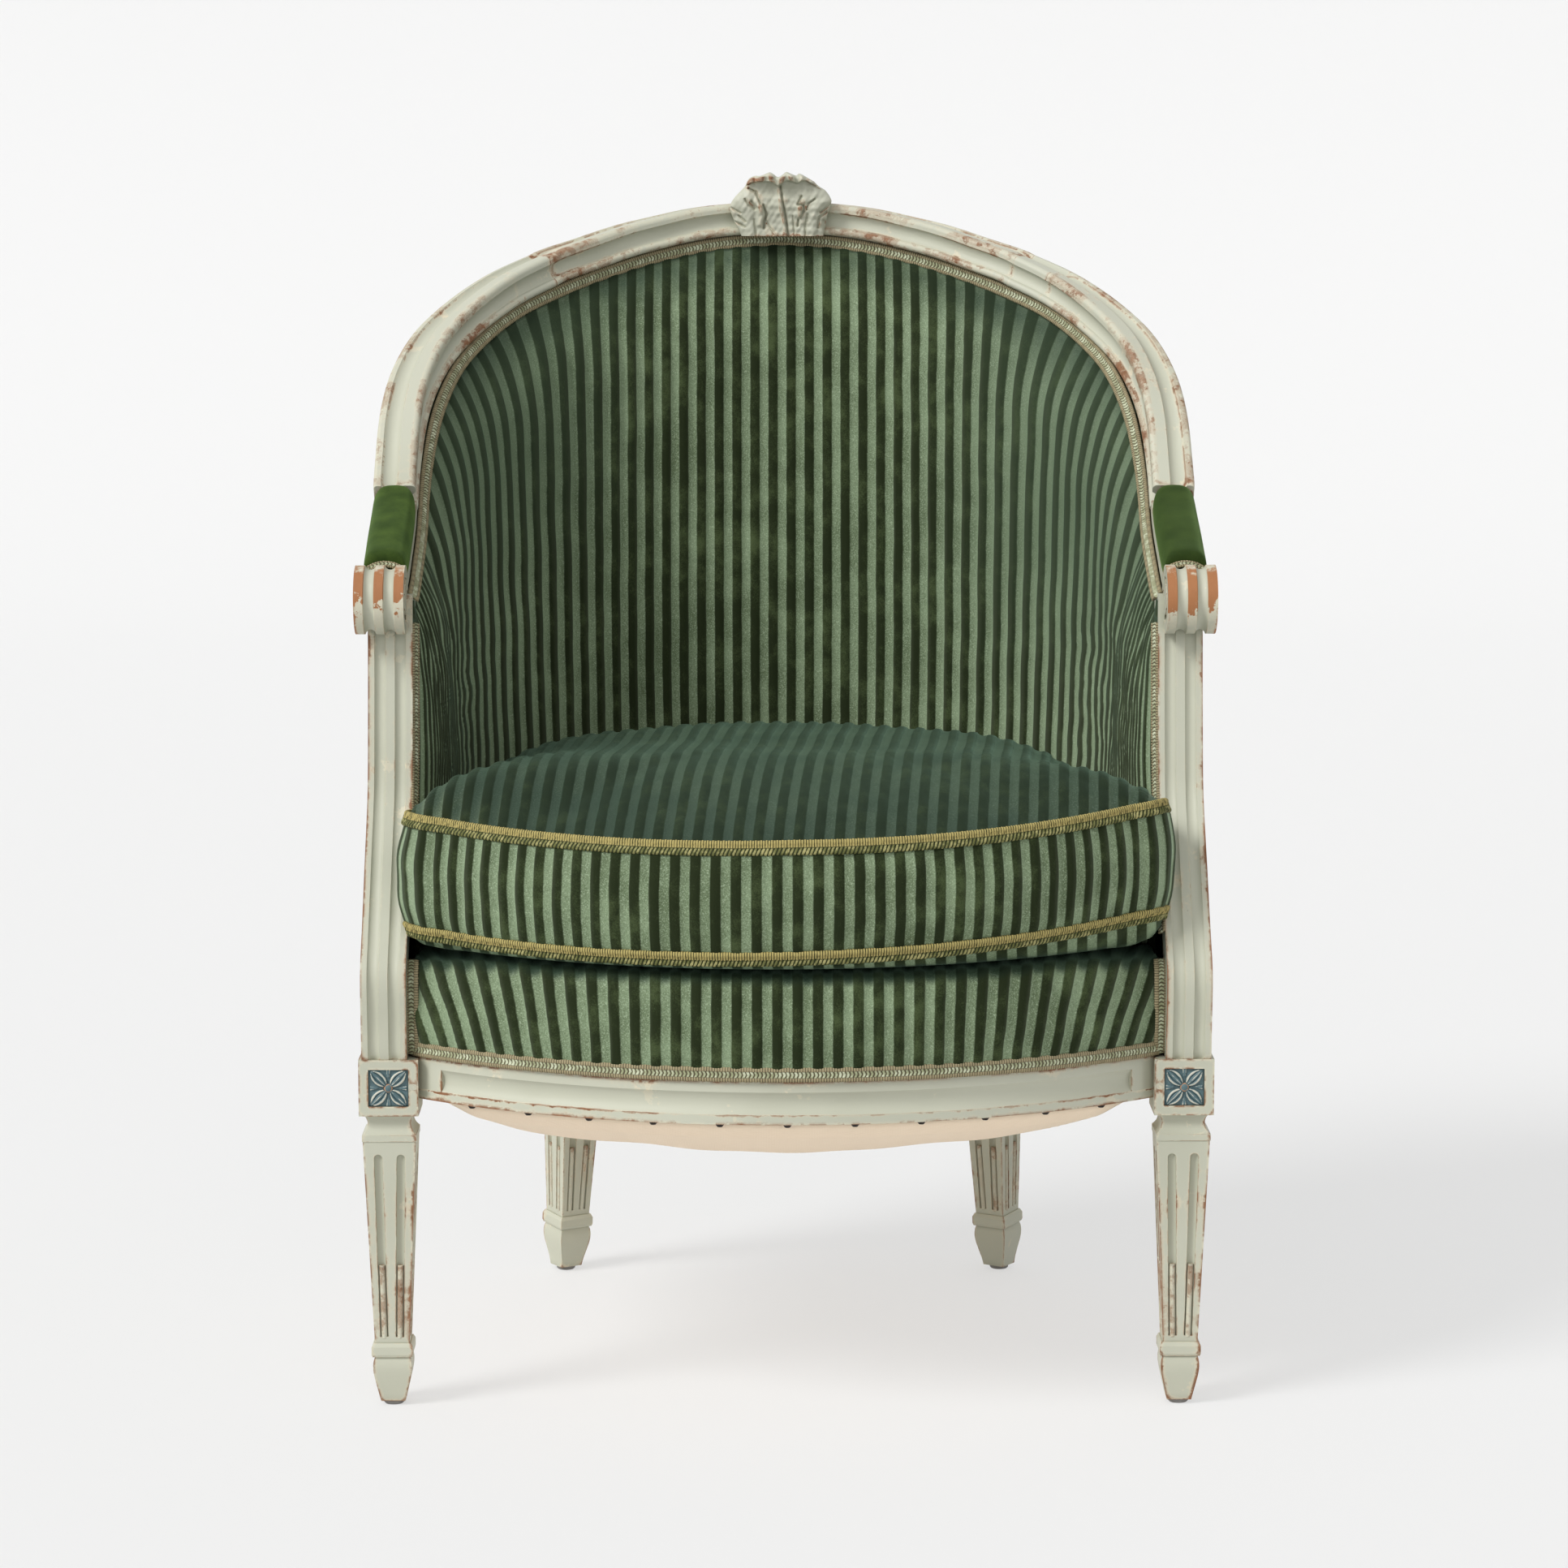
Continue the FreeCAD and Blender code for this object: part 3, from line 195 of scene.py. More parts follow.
def setPiece(piece, body, slot, material, *replaced):
    piece.data.materials.clear()
    piece.data.materials.append(material)
    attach(piece, body)
    if replaced:
        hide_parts(*replaced)
    return piece


# Shader writing: a socket that takes part in sums, and one method that adds any node
class Socket:
    def __init__(self, finish, link):
        self.finish = finish
        self.link = link

    def sum(self, operation, other, swapped=False):
        pair = {0: other, 1: self} if swapped else {0: self, 1: other}
        return self.finish.add("ShaderNodeMath", {"operation": operation}, pair)

    def __add__(self, other):
        return self.sum("ADD", other)

    def __sub__(self, other):
        return self.sum("SUBTRACT", other)

    def __rsub__(self, other):
        return self.sum("SUBTRACT", other, True)

    def __mul__(self, other):
        return self.sum("MULTIPLY", other)

    def __abs__(self):
        return self.sum("ABSOLUTE", 0.0)

    __radd__ = __add__
    __rmul__ = __mul__


class Finish:
    def __init__(self, name, owner=None):
        self.owner = owner or bpy.data.materials.new(name)
        self.owner.use_nodes = True
        self.tree = self.owner.node_tree
        self.tree.nodes.clear()

    def add(self, kind, settings=None, sockets=None, out=0):
        node = self.tree.nodes.new(kind)
        for key, value in (settings or {}).items():
            setattr(node, key, value)
        for key, value in (sockets or {}).items():
            target = node.inputs[key]
            if isinstance(value, Socket):
                self.tree.links.new(value.link, target)
            elif isinstance(value, tuple) and len(value) == 3 and target.type == "RGBA":
                target.default_value = (*value, 1)
            else:
                target.default_value = value
        return Socket(self, node.outputs[out]) if node.outputs else None

    def place(self):
        return self.add("ShaderNodeTexCoord", out="Object")

    def noise(self, scale, detail=4.0, rough=0.55, stretch=None):
        at = self.place()
        if stretch:
            at = self.add("ShaderNodeMapping", {}, {"Vector": at, "Scale": stretch})
        return self.add("ShaderNodeTexNoise", {},
                        {"Vector": at, "Scale": scale, "Detail": detail, "Roughness": rough})

    def step(self, value, low, high):  # 0 below low, 1 above high
        return self.add("ShaderNodeMapRange", {"interpolation_type": "SMOOTHSTEP"},
                        {"Value": value, "From Min": low, "From Max": high})

    def blend(self, factor, first, second):
        return self.add("ShaderNodeMix", {"data_type": "RGBA"}, {0: factor, 6: first, 7: second}, out=2)

    def axes(self, vector):
        first = self.add("ShaderNodeSeparateXYZ", {}, {0: vector})
        return [Socket(self, output) for output in first.link.node.outputs]

    def bump(self, height, strength, distance=0.001):
        return self.add("ShaderNodeBump", {}, {"Height": height, "Strength": strength, "Distance": distance})

    def body(self, sockets):
        return self.add("ShaderNodeBsdfPrincipled", {}, sockets)

    def seen(self):  # 1 for what the camera, a gloss or a lens sees
        eye = self.add("ShaderNodeLightPath", out="Is Camera Ray")
        gloss = self.add("ShaderNodeLightPath", out="Is Glossy Ray")
        glass = self.add("ShaderNodeLightPath", out="Is Transmission Ray")
        return self.larger(self.larger(eye, gloss), glass)

    def larger(self, first, second):
        return self.add("ShaderNodeMath", {"operation": "MAXIMUM"}, {0: first, 1: second})

    def sine(self, value):
        return self.add("ShaderNodeMath", {"operation": "SINE"}, {0: value})

    def close(self, shader, kind="ShaderNodeOutputMaterial"):
        self.add(kind, {}, {"Surface": shader})
        return self.owner


# Painted beech: grey-green paint over cream, rubbed through to the wood on the edges, with painted shade in the
# hollows
paintLook = {"paint": (0.52, 0.525, 0.425), "paintDeep": (0.43, 0.435, 0.34), "cream": (0.66, 0.60, 0.45),
             "wood": (0.36, 0.165, 0.075), "woodDark": (0.10, 0.045, 0.022), "dirt": (0.15, 0.12, 0.07)}


def paintedWood(name, wear=0.0, hands=False, calmAbove=None, edge=0.0045, thinFrom=0.58, lineAt=None):
    f = Finish(name)
    spot = f.place()
    convex = 1 - f.add("ShaderNodeAmbientOcclusion", {"inside": True, "only_local": True, "samples": 8},
                       {"Distance": edge}, out="AO")
    # painted shade: ambient occlusion over 10 mm, darker in the hollows
    hollow = 1 - f.add("ShaderNodeAmbientOcclusion", {"samples": 8}, {"Distance": 0.010}, out="AO")
    ragged = f.noise(120.0, 6.0, 0.68)
    patch = f.noise(17.0, 5.0, 0.6)
    cloudy = f.noise(6.0, 3.0)
    thin = f.step(convex, thinFrom, thinFrom + 0.22)
    rub = convex * (1 - thin * 0.75) + (ragged - 0.5) * 0.72 + (patch - 0.5) * 1.05 + wear
    if calmAbove:  # paint kept whole where nothing rubs
        rub = rub - f.step(f.axes(spot)[2], calmAbove, calmAbove + 0.008) * 0.35
    if lineAt:  # a worn line along the lower edge of the panel
        off = abs(f.axes(spot)[2] - lineAt + (ragged - 0.5) * 0.004)
        rub = rub + f.step(off, 0.0016, 0.0004) * 0.36
    creamMask = f.step(rub, 0.20, 0.30)
    woodMask = f.step(rub, 0.37, 0.43)
    specks = f.step(f.noise(210.0, 4.0, 0.75) + (patch - 0.5) * 0.45, 0.735, 0.755)
    flakes = f.step(f.noise(34.0, 6.0, 0.72) + (patch - 0.5) * 0.7, 0.66, 0.68)
    # darker paint from random clouds and from painted shade in the hollows
    colour = f.blend(f.step(cloudy + hollow * 0.9, 0.40, 1.0), paintLook["paint"], paintLook["paintDeep"])
    colour = f.blend(flakes * 0.45 + creamMask * 0.65, colour, paintLook["cream"])
    bare = f.blend(f.noise(60.0, 5.0, 0.6, stretch=(6.0, 6.0, 1.0)), paintLook["woodDark"], paintLook["wood"])
    if hands:  # the ridges of the hands are bare where palms have rubbed them
        x, y, z = f.axes(spot)
        reach = (y + 0.1398) * (y + 0.1398) + (z - 0.623) * (z - 0.623)
        ridge = f.step(reach, 0.0254 ** 2, 0.0262 ** 2) * f.step(y, -0.112, -0.120)
        low = z + (ragged - 0.5) * 0.070 + (patch - 0.5) * 0.05
        rubbed = ridge * f.step(low, 0.6195, 0.6220) * f.step(z + (ragged - 0.5) * 0.030, 0.6510, 0.6440)
        side = f.step(abs(x), 0.2980, 0.2972) * f.step(reach, 0.0235 ** 2, 0.0225 ** 2)
        cuts = f.step(f.sine((y * 0.8 + z) * 560.0), 0.955, 0.985) * side
        innerFace = f.step(abs(x), 0.2985, 0.2976)
        woodMask = f.larger(f.larger(woodMask * (1 - innerFace), rubbed), cuts)
        colour = f.blend(ridge * f.step(low, 0.590, 0.615) * 0.8, colour, (0.62, 0.585, 0.45))
        bare = f.blend(ridge * (0.45 + patch * 0.6), bare, (0.40, 0.165, 0.060))
    colour = f.blend(woodMask, colour, bare)
    # dirt specks, and painted shade in the deepest hollows
    colour = f.blend(f.step(hollow, 0.60, 1.0) * 0.55 + specks * 0.7, colour, paintLook["dirt"])
    rough = 0.44 + ragged * 0.14 + woodMask * 0.12
    relief = f.bump(ragged * 0.25 + f.noise(300.0) * 0.12 - woodMask * 0.5 - creamMask * 0.2, 0.35, 0.0006)
    return f.close(f.body({"Base Color": colour, "Roughness": rough, "Normal": relief, "Specular IOR Level": 0.4}))


def plainFinish(name, low, high, scale, roughness, stretch=None, strength=0.3, metallic=0.0):
    f = Finish(name)
    grain = f.noise(scale, 6.0, 0.6, stretch=stretch)
    colour = f.blend(grain, low, high)
    return f.close(f.body({"Base Color": colour, "Roughness": roughness, "Metallic": metallic,
                           "Normal": f.bump(grain, strength)}))


def wovenBand(name, low, high, thread):  # plain weave on the piece's own coordinates
    f = Finish(name)
    x, y, _ = f.axes(f.place())
    weave = abs(f.sine(x * thread)) * abs(f.sine(y * thread))
    colour = f.blend(weave * 0.7 + f.noise(40.0) * 0.4, low, high)
    return f.close(f.body({"Base Color": colour, "Roughness": 0.9, "Normal": f.bump(weave, 0.5)}))


# velvet colours; the sideways, upward-facing and fleck colours are painted sheen, shade and glints
velvetLook = {"pile": (0.014, 0.021, 0.006), "pileCrushed": (0.062, 0.086, 0.034), "sheen": (0.36, 0.60, 0.44),
              "ground": (0.080, 0.112, 0.053), "groundLit": (0.245, 0.322, 0.195),
              "pileLying": (0.009, 0.020, 0.012), "groundLying": (0.016, 0.034, 0.020),
              "pileAside": (0.058, 0.069, 0.040), "groundAside": (0.30, 0.385, 0.245), "spark": (0.48, 0.57, 0.42),
              "sparkLying": (0.13, 0.185, 0.145),
              "pileBrushed": (0.038, 0.060, 0.034), "groundBrushed": (0.075, 0.112, 0.066),
              "groundSwept": (0.013, 0.030, 0.019)}


def stripedVelvet(name):
    f = Finish(name)
    u, _, _ = f.axes(f.add("ShaderNodeUVMap", {"uv_map": "weave"}))
    nap = f.noise(13.0, 3.0)
    crushed = f.noise(48.0, 4.0, 0.6)
    speckle = f.noise(950.0, 2.0, 0.7)
    across = abs(f.add("ShaderNodeMath", {"operation": "FRACT"}, {0: u + (f.noise(70.0) - 0.5) * 0.07}) - 0.5)
    pile = 1 - f.step(across, 0.222, 0.302)
    sideways, _, upwards = f.axes(f.add("ShaderNodeNewGeometry", out="Normal"))
    # painted sheen and shade: faces turned upwards get a darker, lower-contrast colour
    topSheenShade = f.step(upwards, 0.35, 0.85)
    # painted sheen: walls facing sideways get lighter pile and ground colours
    sideSheen = f.step(abs(sideways), 0.40, 0.95)
    x, _, z = f.axes(f.place())
    upperCorners = f.step(x, -0.08, -0.26) * f.step(z, 0.55, 0.74)  # lower stripe contrast at both upper corners of the back
    upperCorners = upperCorners + f.step(x, 0.10, 0.25) * f.step(z, 0.48, 0.66)
    swept = f.step(f.noise(8.0, 2.0), 0.44, 0.60)  # patches of the cushion where a hand went over the nap
    # painted glints: bright flecks on the flat stripes, dimmer bluish ones on upward faces
    spark = f.step(speckle, 0.54, 0.70)
    pileColour = f.blend(f.step(crushed * 0.6 + nap * 0.5 + (speckle - 0.5) * 0.35, 0.50, 0.80),
                         velvetLook["pile"], velvetLook["pileCrushed"])
    groundColour = f.blend(f.step(speckle * 0.55 + nap * 0.45 + crushed * 0.3, 0.42, 0.86),
                           velvetLook["ground"], velvetLook["groundLit"])
    pileColour = f.blend(sideSheen * 0.7, pileColour, velvetLook["pileAside"])
    groundColour = f.blend(sideSheen * 0.6, groundColour, velvetLook["groundAside"])
    groundColour = f.blend(spark * 0.40, groundColour, velvetLook["spark"])
    pileColour = f.blend(upperCorners * 0.6, pileColour, velvetLook["pileBrushed"])
    groundColour = f.blend(upperCorners * 0.66, groundColour, velvetLook["groundBrushed"])
    pileColour = f.blend(topSheenShade * 0.55, pileColour, velvetLook["pileLying"])
    groundColour = f.blend(topSheenShade * 0.86, groundColour, velvetLook["groundLying"])
    groundColour = f.blend(topSheenShade * spark * 0.45, groundColour, velvetLook["sparkLying"])
    groundColour = f.blend(topSheenShade * swept * 0.55, groundColour, velvetLook["groundSwept"])
    fuzz = f.bump(speckle + f.noise(2400.0, 1.0) * 0.5, 0.35, 0.0005)
    raisedPart = f.body({"Base Color": pileColour, "Roughness": 0.85, "Normal": fuzz, "Specular IOR Level": 0.15,
                         "Sheen Weight": 0.26, "Sheen Roughness": 0.38, "Sheen Tint": velvetLook["sheen"]})
    flatPart = f.body({"Base Color": groundColour, "Roughness": 0.6, "Normal": fuzz, "Specular IOR Level": 0.2,
                       "Sheen Weight": 0.20, "Sheen Roughness": 0.5, "Sheen Tint": velvetLook["sheen"]})
    return f.close(f.add("ShaderNodeMixShader", {}, {0: pile, 1: flatPart, 2: raisedPart}))


def plainVelvet(name):
    f = Finish(name)
    nap = f.noise(42.0, 3.0)
    fuzz = f.noise(1300.0, 2.0, 0.7)
    colour = f.blend(f.step(nap * 0.75 + fuzz * 0.35, 0.38, 0.80), (0.017, 0.037, 0.004), (0.056, 0.095, 0.015))
    across = f.axes(f.place())[0]
    colour = f.blend(f.step(across, 0.0, 0.02) * 0.55, colour, (0.012, 0.025, 0.003))  # painted shade: the right pad is darker
    return f.close(f.body({"Base Color": colour, "Roughness": 0.8, "Specular IOR Level": 0.15,
                           "Normal": f.bump(fuzz, 0.3, 0.0005), "Sheen Weight": 0.3, "Sheen Roughness": 0.4,
                           "Sheen Tint": (0.45, 0.75, 0.22)}))


def braidFinish(name, gapShade, middle, light, edge, plainTop=False):  # u runs along in centimetres, v across
    f = Finish(name)
    u, v, _ = f.axes(f.add("ShaderNodeUVMap", {"uv_map": "weave"}))
    side = abs(v * 2 - 1)
    chain = abs(f.sine((u * 10 + side * 2.4) * (math.pi / 3.0)))
    rungs = abs(f.sine(u * 10 * (math.pi / 2.0)))
    if plainTop:  # the upper half is one plain cord
        onEdge = f.step(v, 0.44, 0.52)
        groove = f.step(abs(v - 0.46), 0.06, 0.0)
    else:
        onEdge = f.step(side, 0.38, 0.46)
        groove = f.step(abs(side - 0.42), 0.07, 0.0)
    uneven = f.noise(160.0, 4.0, 0.65)
    # painted shade in the gaps between the threads and in the groove beside the edge cords
    lit = f.step(chain * (1 - onEdge) + (rungs * 0.85 + 0.16) * onEdge + (uneven - 0.5) * 0.8, 0.18, 0.90)
    colour = f.blend(lit, gapShade, f.blend(onEdge, middle, edge))
    colour = f.blend(f.step(uneven + lit * 0.3, 0.70, 0.95) * (1 - onEdge), colour, light)
    colour = f.blend(groove * 0.7, colour, gapShade)
    return f.close(f.body({"Base Color": colour, "Roughness": 0.75, "Specular IOR Level": 0.25,
                           "Normal": f.bump(lit + uneven * 0.4, 0.5, 0.0005)}))


def rosetteFinish(name):  # blue paint, pale on the raised edges
    f = Finish(name)
    u, v, _ = f.axes(f.add("ShaderNodeUVMap", {"uv_map": "weave"}))
    ragged = f.noise(260.0, 5.0, 0.65)
    blue = f.blend(f.noise(120.0, 4.0), (0.050, 0.098, 0.112), (0.115, 0.190, 0.205))
    worn = f.step(u + (ragged - 0.5) * 0.9, 0.60, 0.74)
    colour = f.blend(worn, blue, (0.56, 0.55, 0.46))
    colour = f.blend(f.step(v + (ragged - 0.5) * 0.8, 0.62, 0.80), colour, (0.44, 0.22, 0.11))
    return f.close(f.body({"Base Color": colour, "Roughness": 0.5, "Normal": f.bump(ragged, 0.3, 0.0005)}))


def dustFinish(name):
    f = Finish(name)
    x, y, _ = f.axes(f.place())
    thread = abs(f.sine(x * 2600)) * 0.5 + abs(f.sine(y * 2600)) * 0.5
    slub = f.noise(120.0, 5.0, 0.6, stretch=(1.0, 9.0, 1.0))
    colour = f.blend(thread * 0.35 + slub * 0.6, (0.86, 0.69, 0.51), (0.98, 0.83, 0.65))
    return f.close(f.body({"Base Color": colour, "Roughness": 0.9, "Normal": f.bump(thread + slub, 0.25, 0.0004),
                           "Sheen Weight": 0.1}))


finishes = {
    "frame": paintedWood("paintedFrame", 0.06, edge=0.009, thinFrom=0.36),
    "supports": paintedWood("paintedSupports", 0.02, calmAbove=0.592),
    "legs": paintedWood("paintedLegs", 0.04, thinFrom=0.44),
    "rearLegs": paintedWood("paintedRearLegs", -0.13),
    "arms": paintedWood("paintedArms", -0.05, hands=True),
    "rails": paintedWood("paintedRails", -0.02, edge=0.006, lineAt=0.2520),
    "carving": paintedWood("paintedCarving", -0.05),
    "bareWood": plainFinish("bareBeech", (0.16, 0.075, 0.035), (0.40, 0.22, 0.11), 30.0, 0.7, (5.0, 1.0, 5.0)),
    "velvet": stripedVelvet("stripedVelvet"),
    "padVelvet": plainVelvet("plainVelvet"),
    "paleBraid": braidFinish("paleBraid", (0.100, 0.085, 0.050), (0.35, 0.37, 0.220), (0.60, 0.63, 0.46),
                             (0.345, 0.29, 0.170)),
    "goldBraid": braidFinish("goldBraid", (0.020, 0.026, 0.007), (0.13, 0.135, 0.042), (0.38, 0.35, 0.15),
                             (0.42, 0.345, 0.126), plainTop=True),
    "rosette": rosetteFinish("rosetteBlue"),
    "dust": dustFinish("dustCloth"),
    "jute": wovenBand("juteWebbing", (0.14, 0.085, 0.04), (0.45, 0.32, 0.18), 1400.0),
    "canvas": wovenBand("springCanvas", (0.30, 0.22, 0.13), (0.55, 0.44, 0.30), 2200.0),
    "steel": plainFinish("springSteel", (0.20, 0.17, 0.14), (0.42, 0.38, 0.33), 60.0, 0.45, None, 0.2, 0.9),
    "iron": plainFinish("tackIron", (0.012, 0.010, 0.008), (0.055, 0.040, 0.030), 200.0, 0.55, None, 0.4, 0.6),
    "glide": plainFinish("glideGrey", (0.16, 0.15, 0.14), (0.30, 0.29, 0.27), 90.0, 0.5),
}
nodeFinish = {"front_rail": "rails", "back_rail": "rails", "side_rail": "rails", "front_leg": "legs",
              "rear_leg": "rearLegs", "arm_support": "supports", "arm": "arms", "back_side": "frame",
              "crest_rail": "frame", "crest_carving": "frame", "corner_blocks": "bareWood",
              "corner_block_screws": "steel", "joint_pegs": "rails", "foot_glides": "glide",
              "seat_webbing_long": "jute", "seat_webbing_cross": "jute", "back_webbing": "jute",
              "seat_springs": "steel", "spring_canvas": "canvas", "dust_cover_tacks": "iron"}
for nodeName, node in nodes.items():
    stem = nodeName.replace("_left", "").replace("_right", "")
    if stem in nodeFinish:
        node.data.materials.clear()
        node.data.materials.append(finishes[nodeFinish[stem]])
print("finishes made:", len(finishes))


# Velvet with raised pile stripes
def ribs(count):  # height of the pile over the ground weave, from the stripe count
    away = np.abs(count - np.floor(count) - 0.5)
    return 1.45 * (1 - fade(away, 0.18, 0.33)) + 0.18 * np.cos(np.clip(away / 0.3, 0, 1) * math.pi)


backPad = {"stripes": 79, "perStripe": 8, "rows": 66, "low": 322.0, "swell": 56.6, "frontDepth": 31.0,
           "rollLength": 27.0, "puckers": 1.0, "parallelFrom": 560.0}


def paddedStation(walk):  # station on the frame of a distance walked along the padded surface
    onBack, onShoulder = 1 - backPad["swell"] / backRadius, 1 - backPad["swell"] / plan["shoulder"]
    first = backStation * onBack
    second = first + (sideStation - backStation) * onShoulder
    return np.interp(walk, [0, first, second, second + 400], [0, backStation, sideStation, sideStation + 400])


def armStand(station):  # the seam stands further in along the arms
    return 8.0 * fade(np.abs(station), 250, 440)


def insideBackPlace(u, v):
    run = (u * 2 - 1) * backPad["stripes"] * stripe / 2
    s = paddedStation(np.abs(run))
    reach = s.max()
    known = np.minimum(s, 622.0)
    slope = (smoothLine(edgeLine, known + 1) - smoothLine(edgeLine, known - 1)) / 2
    steep = np.hypot(1, slope)
    edge = smoothLine(edgeLine, known)
    high = edge - 33.5 * steep
    rowShare = np.where(v < 0.55, v / 0.55 * 0.62, 0.62 + (v - 0.55) / 0.45 * 0.38)
    z = backPad["low"] + (high - backPad["low"]) * rowShare
    # the front edge of the arm padding follows the arm support
    frontY = smoothLine(supportLine, np.clip(z, 277, 626)) + 7.0
    frontY = np.where(z < 369, np.maximum(frontY, 67.0), frontY)
    end = sideStation + plan["sideEnd"] + plan["lean"] * (z - plan["blockTop"]) - frontY
    station = np.where(s <= 540, s, 540 + (s - 540) * (end - 540) / (reach - 540))
    share = np.clip((station - 528) / 162, 0, 1) ** 1.25
    deep = backPad["swell"] + (backPad["frontDepth"] - backPad["swell"]) * share
    # rounded over below the braid, and rolled round the front edge
    drop = (edge - z) / steep
    t = np.clip((drop - 37.5) / 92, 0, 1)
    leaned = np.minimum(edge - z, 60) * (plan["flare"] + plan["lean"] * np.cos(planTurn(station)))
    seam = 25.4 - leaned + armStand(s)
    depth = seam + (deep - seam) * (1 - (1 - t) ** 2.3) ** 0.8
    roll = np.clip((station - (end - backPad["rollLength"])) / backPad["rollLength"], 0, 1)
    endDepth = 26.8 + plan["flare"] * (z - plan["blockTop"])
    depth = endDepth + (depth - endDepth) * np.sqrt(np.clip(1 - roll ** 2, 0, 1))
    side = np.where(run < 0, -1, 1)
    points = barrelPoint(side * station, depth, z)
    points[..., 0] = np.where(s < 1e-6, 0, points[..., 0])
    slack = fade(s, 300, 450) * fade(z, 640, 540) * fade(end - station, 20, 60)
    count = run / stripe + 0.18 * slack * waves(15, z, run * 0.25, 27)
    # the stripes of the back itself stay parallel although the barrel widens upwards
    steps = np.hypot(*np.diff(points[..., :2], axis=1).transpose(2, 0, 1))
    row = np.concatenate([0 * steps[:, :1], np.cumsum(steps, axis=1)], 1)
    row = row - row[:, row.shape[1] // 2][:, None]
    level = np.argmin(np.abs(z[:, z.shape[1] // 2] - backPad["parallelFrom"]))
    widened = (row - row[level]) * (z > backPad["parallelFrom"])
    count = count + widened / stripe * (1 - fade(s, 110, 300))
    # gathers below the arms, and hand-stuffed unevenness elsewhere
    gathered = fade(s, 400, 520) * np.exp(-((drop - 62) / 60) ** 2)
    lumps = 0.55 * waves(3, run, z, 90) + gathered * backPad["puckers"] * waves(8, run + z * 0.55, z * 0.3, 36)
    hold = fade(drop, 38, 50) * (1 - roll ** 4)
    return raised(points, ribs(count) * fade(drop, 34, 41) + lumps * hold), np.stack([count, z * 0.001], -1)


backColumns = backPad["stripes"] * backPad["perStripe"]
insideBack = thicken(gridPiece("inside_back_velvet", backColumns, backPad["rows"], insideBackPlace), 0.004, -1.0)
setPiece(insideBack, "chair", "striped_velvet", finishes["velvet"], "inside_back")
print("inside back covered")

outsideCover = {"stripes": 88, "perStripe": 8, "rows": 22, "low": 279.0}


def outsidePlace(u, v):
    reach = outsideCover["stripes"] * stripe / 2
    run = (u * 2 - 1) * reach
    s = np.abs(run)
    known = np.minimum(s, 640.0)
    slope = (smoothLine(edgeLine, known + 1) - smoothLine(edgeLine, known - 1)) / 2
    high = smoothLine(edgeLine, known) - 37.0 * np.hypot(1, slope)
    z = outsideCover["low"] + (high - outsideCover["low"]) * v
    frontY = smoothLine(supportLine, np.clip(z, 277, 626)) + 34.8
    end = sideStation + plan["sideEnd"] + plan["lean"] * (z - plan["blockTop"]) - frontY
    station = np.where(s <= 540, s, 540 + (s - 540) * (end - 540) / (reach - 540))
    points = barrelPoint(np.where(run < 0, -1, 1) * station, 1.6 + 0.5 * waves(5, run, z, 120) * fade(v, 0, 0.2), z)
    points[..., 0] = np.where(s < 1e-6, 0, points[..., 0])
    count = run / stripe
    return raised(points, -ribs(count) * fade(v, 0, 0.03)), np.stack([count, z * 0.001], -1)


outsideColumns = outsideCover["stripes"] * outsideCover["perStripe"]
outside = gridPiece("outside_cover_velvet", outsideColumns, outsideCover["rows"], outsidePlace)
outsideArea = sum(face.area for face in outside.data.polygons)
outside = thicken(outside, 0.0014, 1.0)
setPiece(outside, "chair", "striped_velvet", finishes["velvet"], "outside_cover")
print("outside covered, cloth area", round(outsideArea, 3))


# Seat platform: cloth up the front rail, over the edge and back under the cushion
deckShape = {"stripes": 38, "perStripe": 8, "rows": 46, "low": 279.0, "top": 357.6, "fan": 0.0012,
             "halfFront": 287.0}


def deckRear(x):
    s = np.abs(x)
    inset = 62.0
    backHalf = (backRadius - inset) * math.sin(plan["legTurn"])
    onBack = backCentre + np.sqrt(np.maximum((backRadius - inset) ** 2 - s ** 2, 0))
    reach = np.clip(s - shoulderX, 0, plan["shoulder"] - inset)
    onSide = plan["sideEnd"] + np.sqrt((plan["shoulder"] - inset) ** 2 - reach ** 2)
    side = plan["halfWidth"] - inset - 1
    return np.where(s <= backHalf, onBack, np.where(s < side, onSide, 60.0))


def deckPlace(u, v):
    wall = np.clip(v / 0.62, 0, 1)
    bend = np.clip((v - 0.62) / 0.14, 0, 1)
    flat = np.clip((v - 0.76) / 0.24, 0, 1)
    tall = deckShape["top"] - 14 - deckShape["low"]
    z = deckShape["low"] + tall * wall + 14 * np.sin(bend * math.pi / 2)
    x = (u * 2 - 1) * deckShape["halfFront"]
    climbed = deckShape["low"] + tall * wall + 22 * bend + 40 * flat
    lean = 1 + deckShape["fan"] * (climbed - 300) * fade(np.abs(x), 60, 280)
    count = x / lean / stripe
    radius = frontArc["radius"]
    front = frontArc["front"] + radius - np.sqrt(radius ** 2 - x ** 2)
    belly = 3.4 * np.sin(wall * math.pi) ** 0.8 + 0.6
    y = front - belly + 14 * (1 - np.cos(bend * math.pi / 2))
    start = front + 14 - 0.6
    rear = np.maximum(deckRear(x), start + 4)
    y = np.where(flat > 0, start + (rear - start) * flat, y)
    z = z - 6.5 * fade(np.abs(x), 215, 287) * fade(wall, 0.5, 1.0) + 1.0 * waves(12, x, y, 120) * flat * (1 - flat)
    points = np.stack([x, y - plan["forward"], z], -1)
    lumps = 0.5 * waves(9, x, z * 1.5, 46) * np.sin(wall * math.pi)
    return raised(points, ribs(count) * fade(v, 0.06, 0.12) + lumps), np.stack([count, v * 0.4], -1)


deck = gridPiece("seat_deck_velvet", deckShape["stripes"] * deckShape["perStripe"], deckShape["rows"], deckPlace)
deck = thicken(deck, 0.004, -1.0)
setPiece(deck, "chair", "striped_velvet", finishes["velvet"], "seat_deck")
print("seat platform covered")

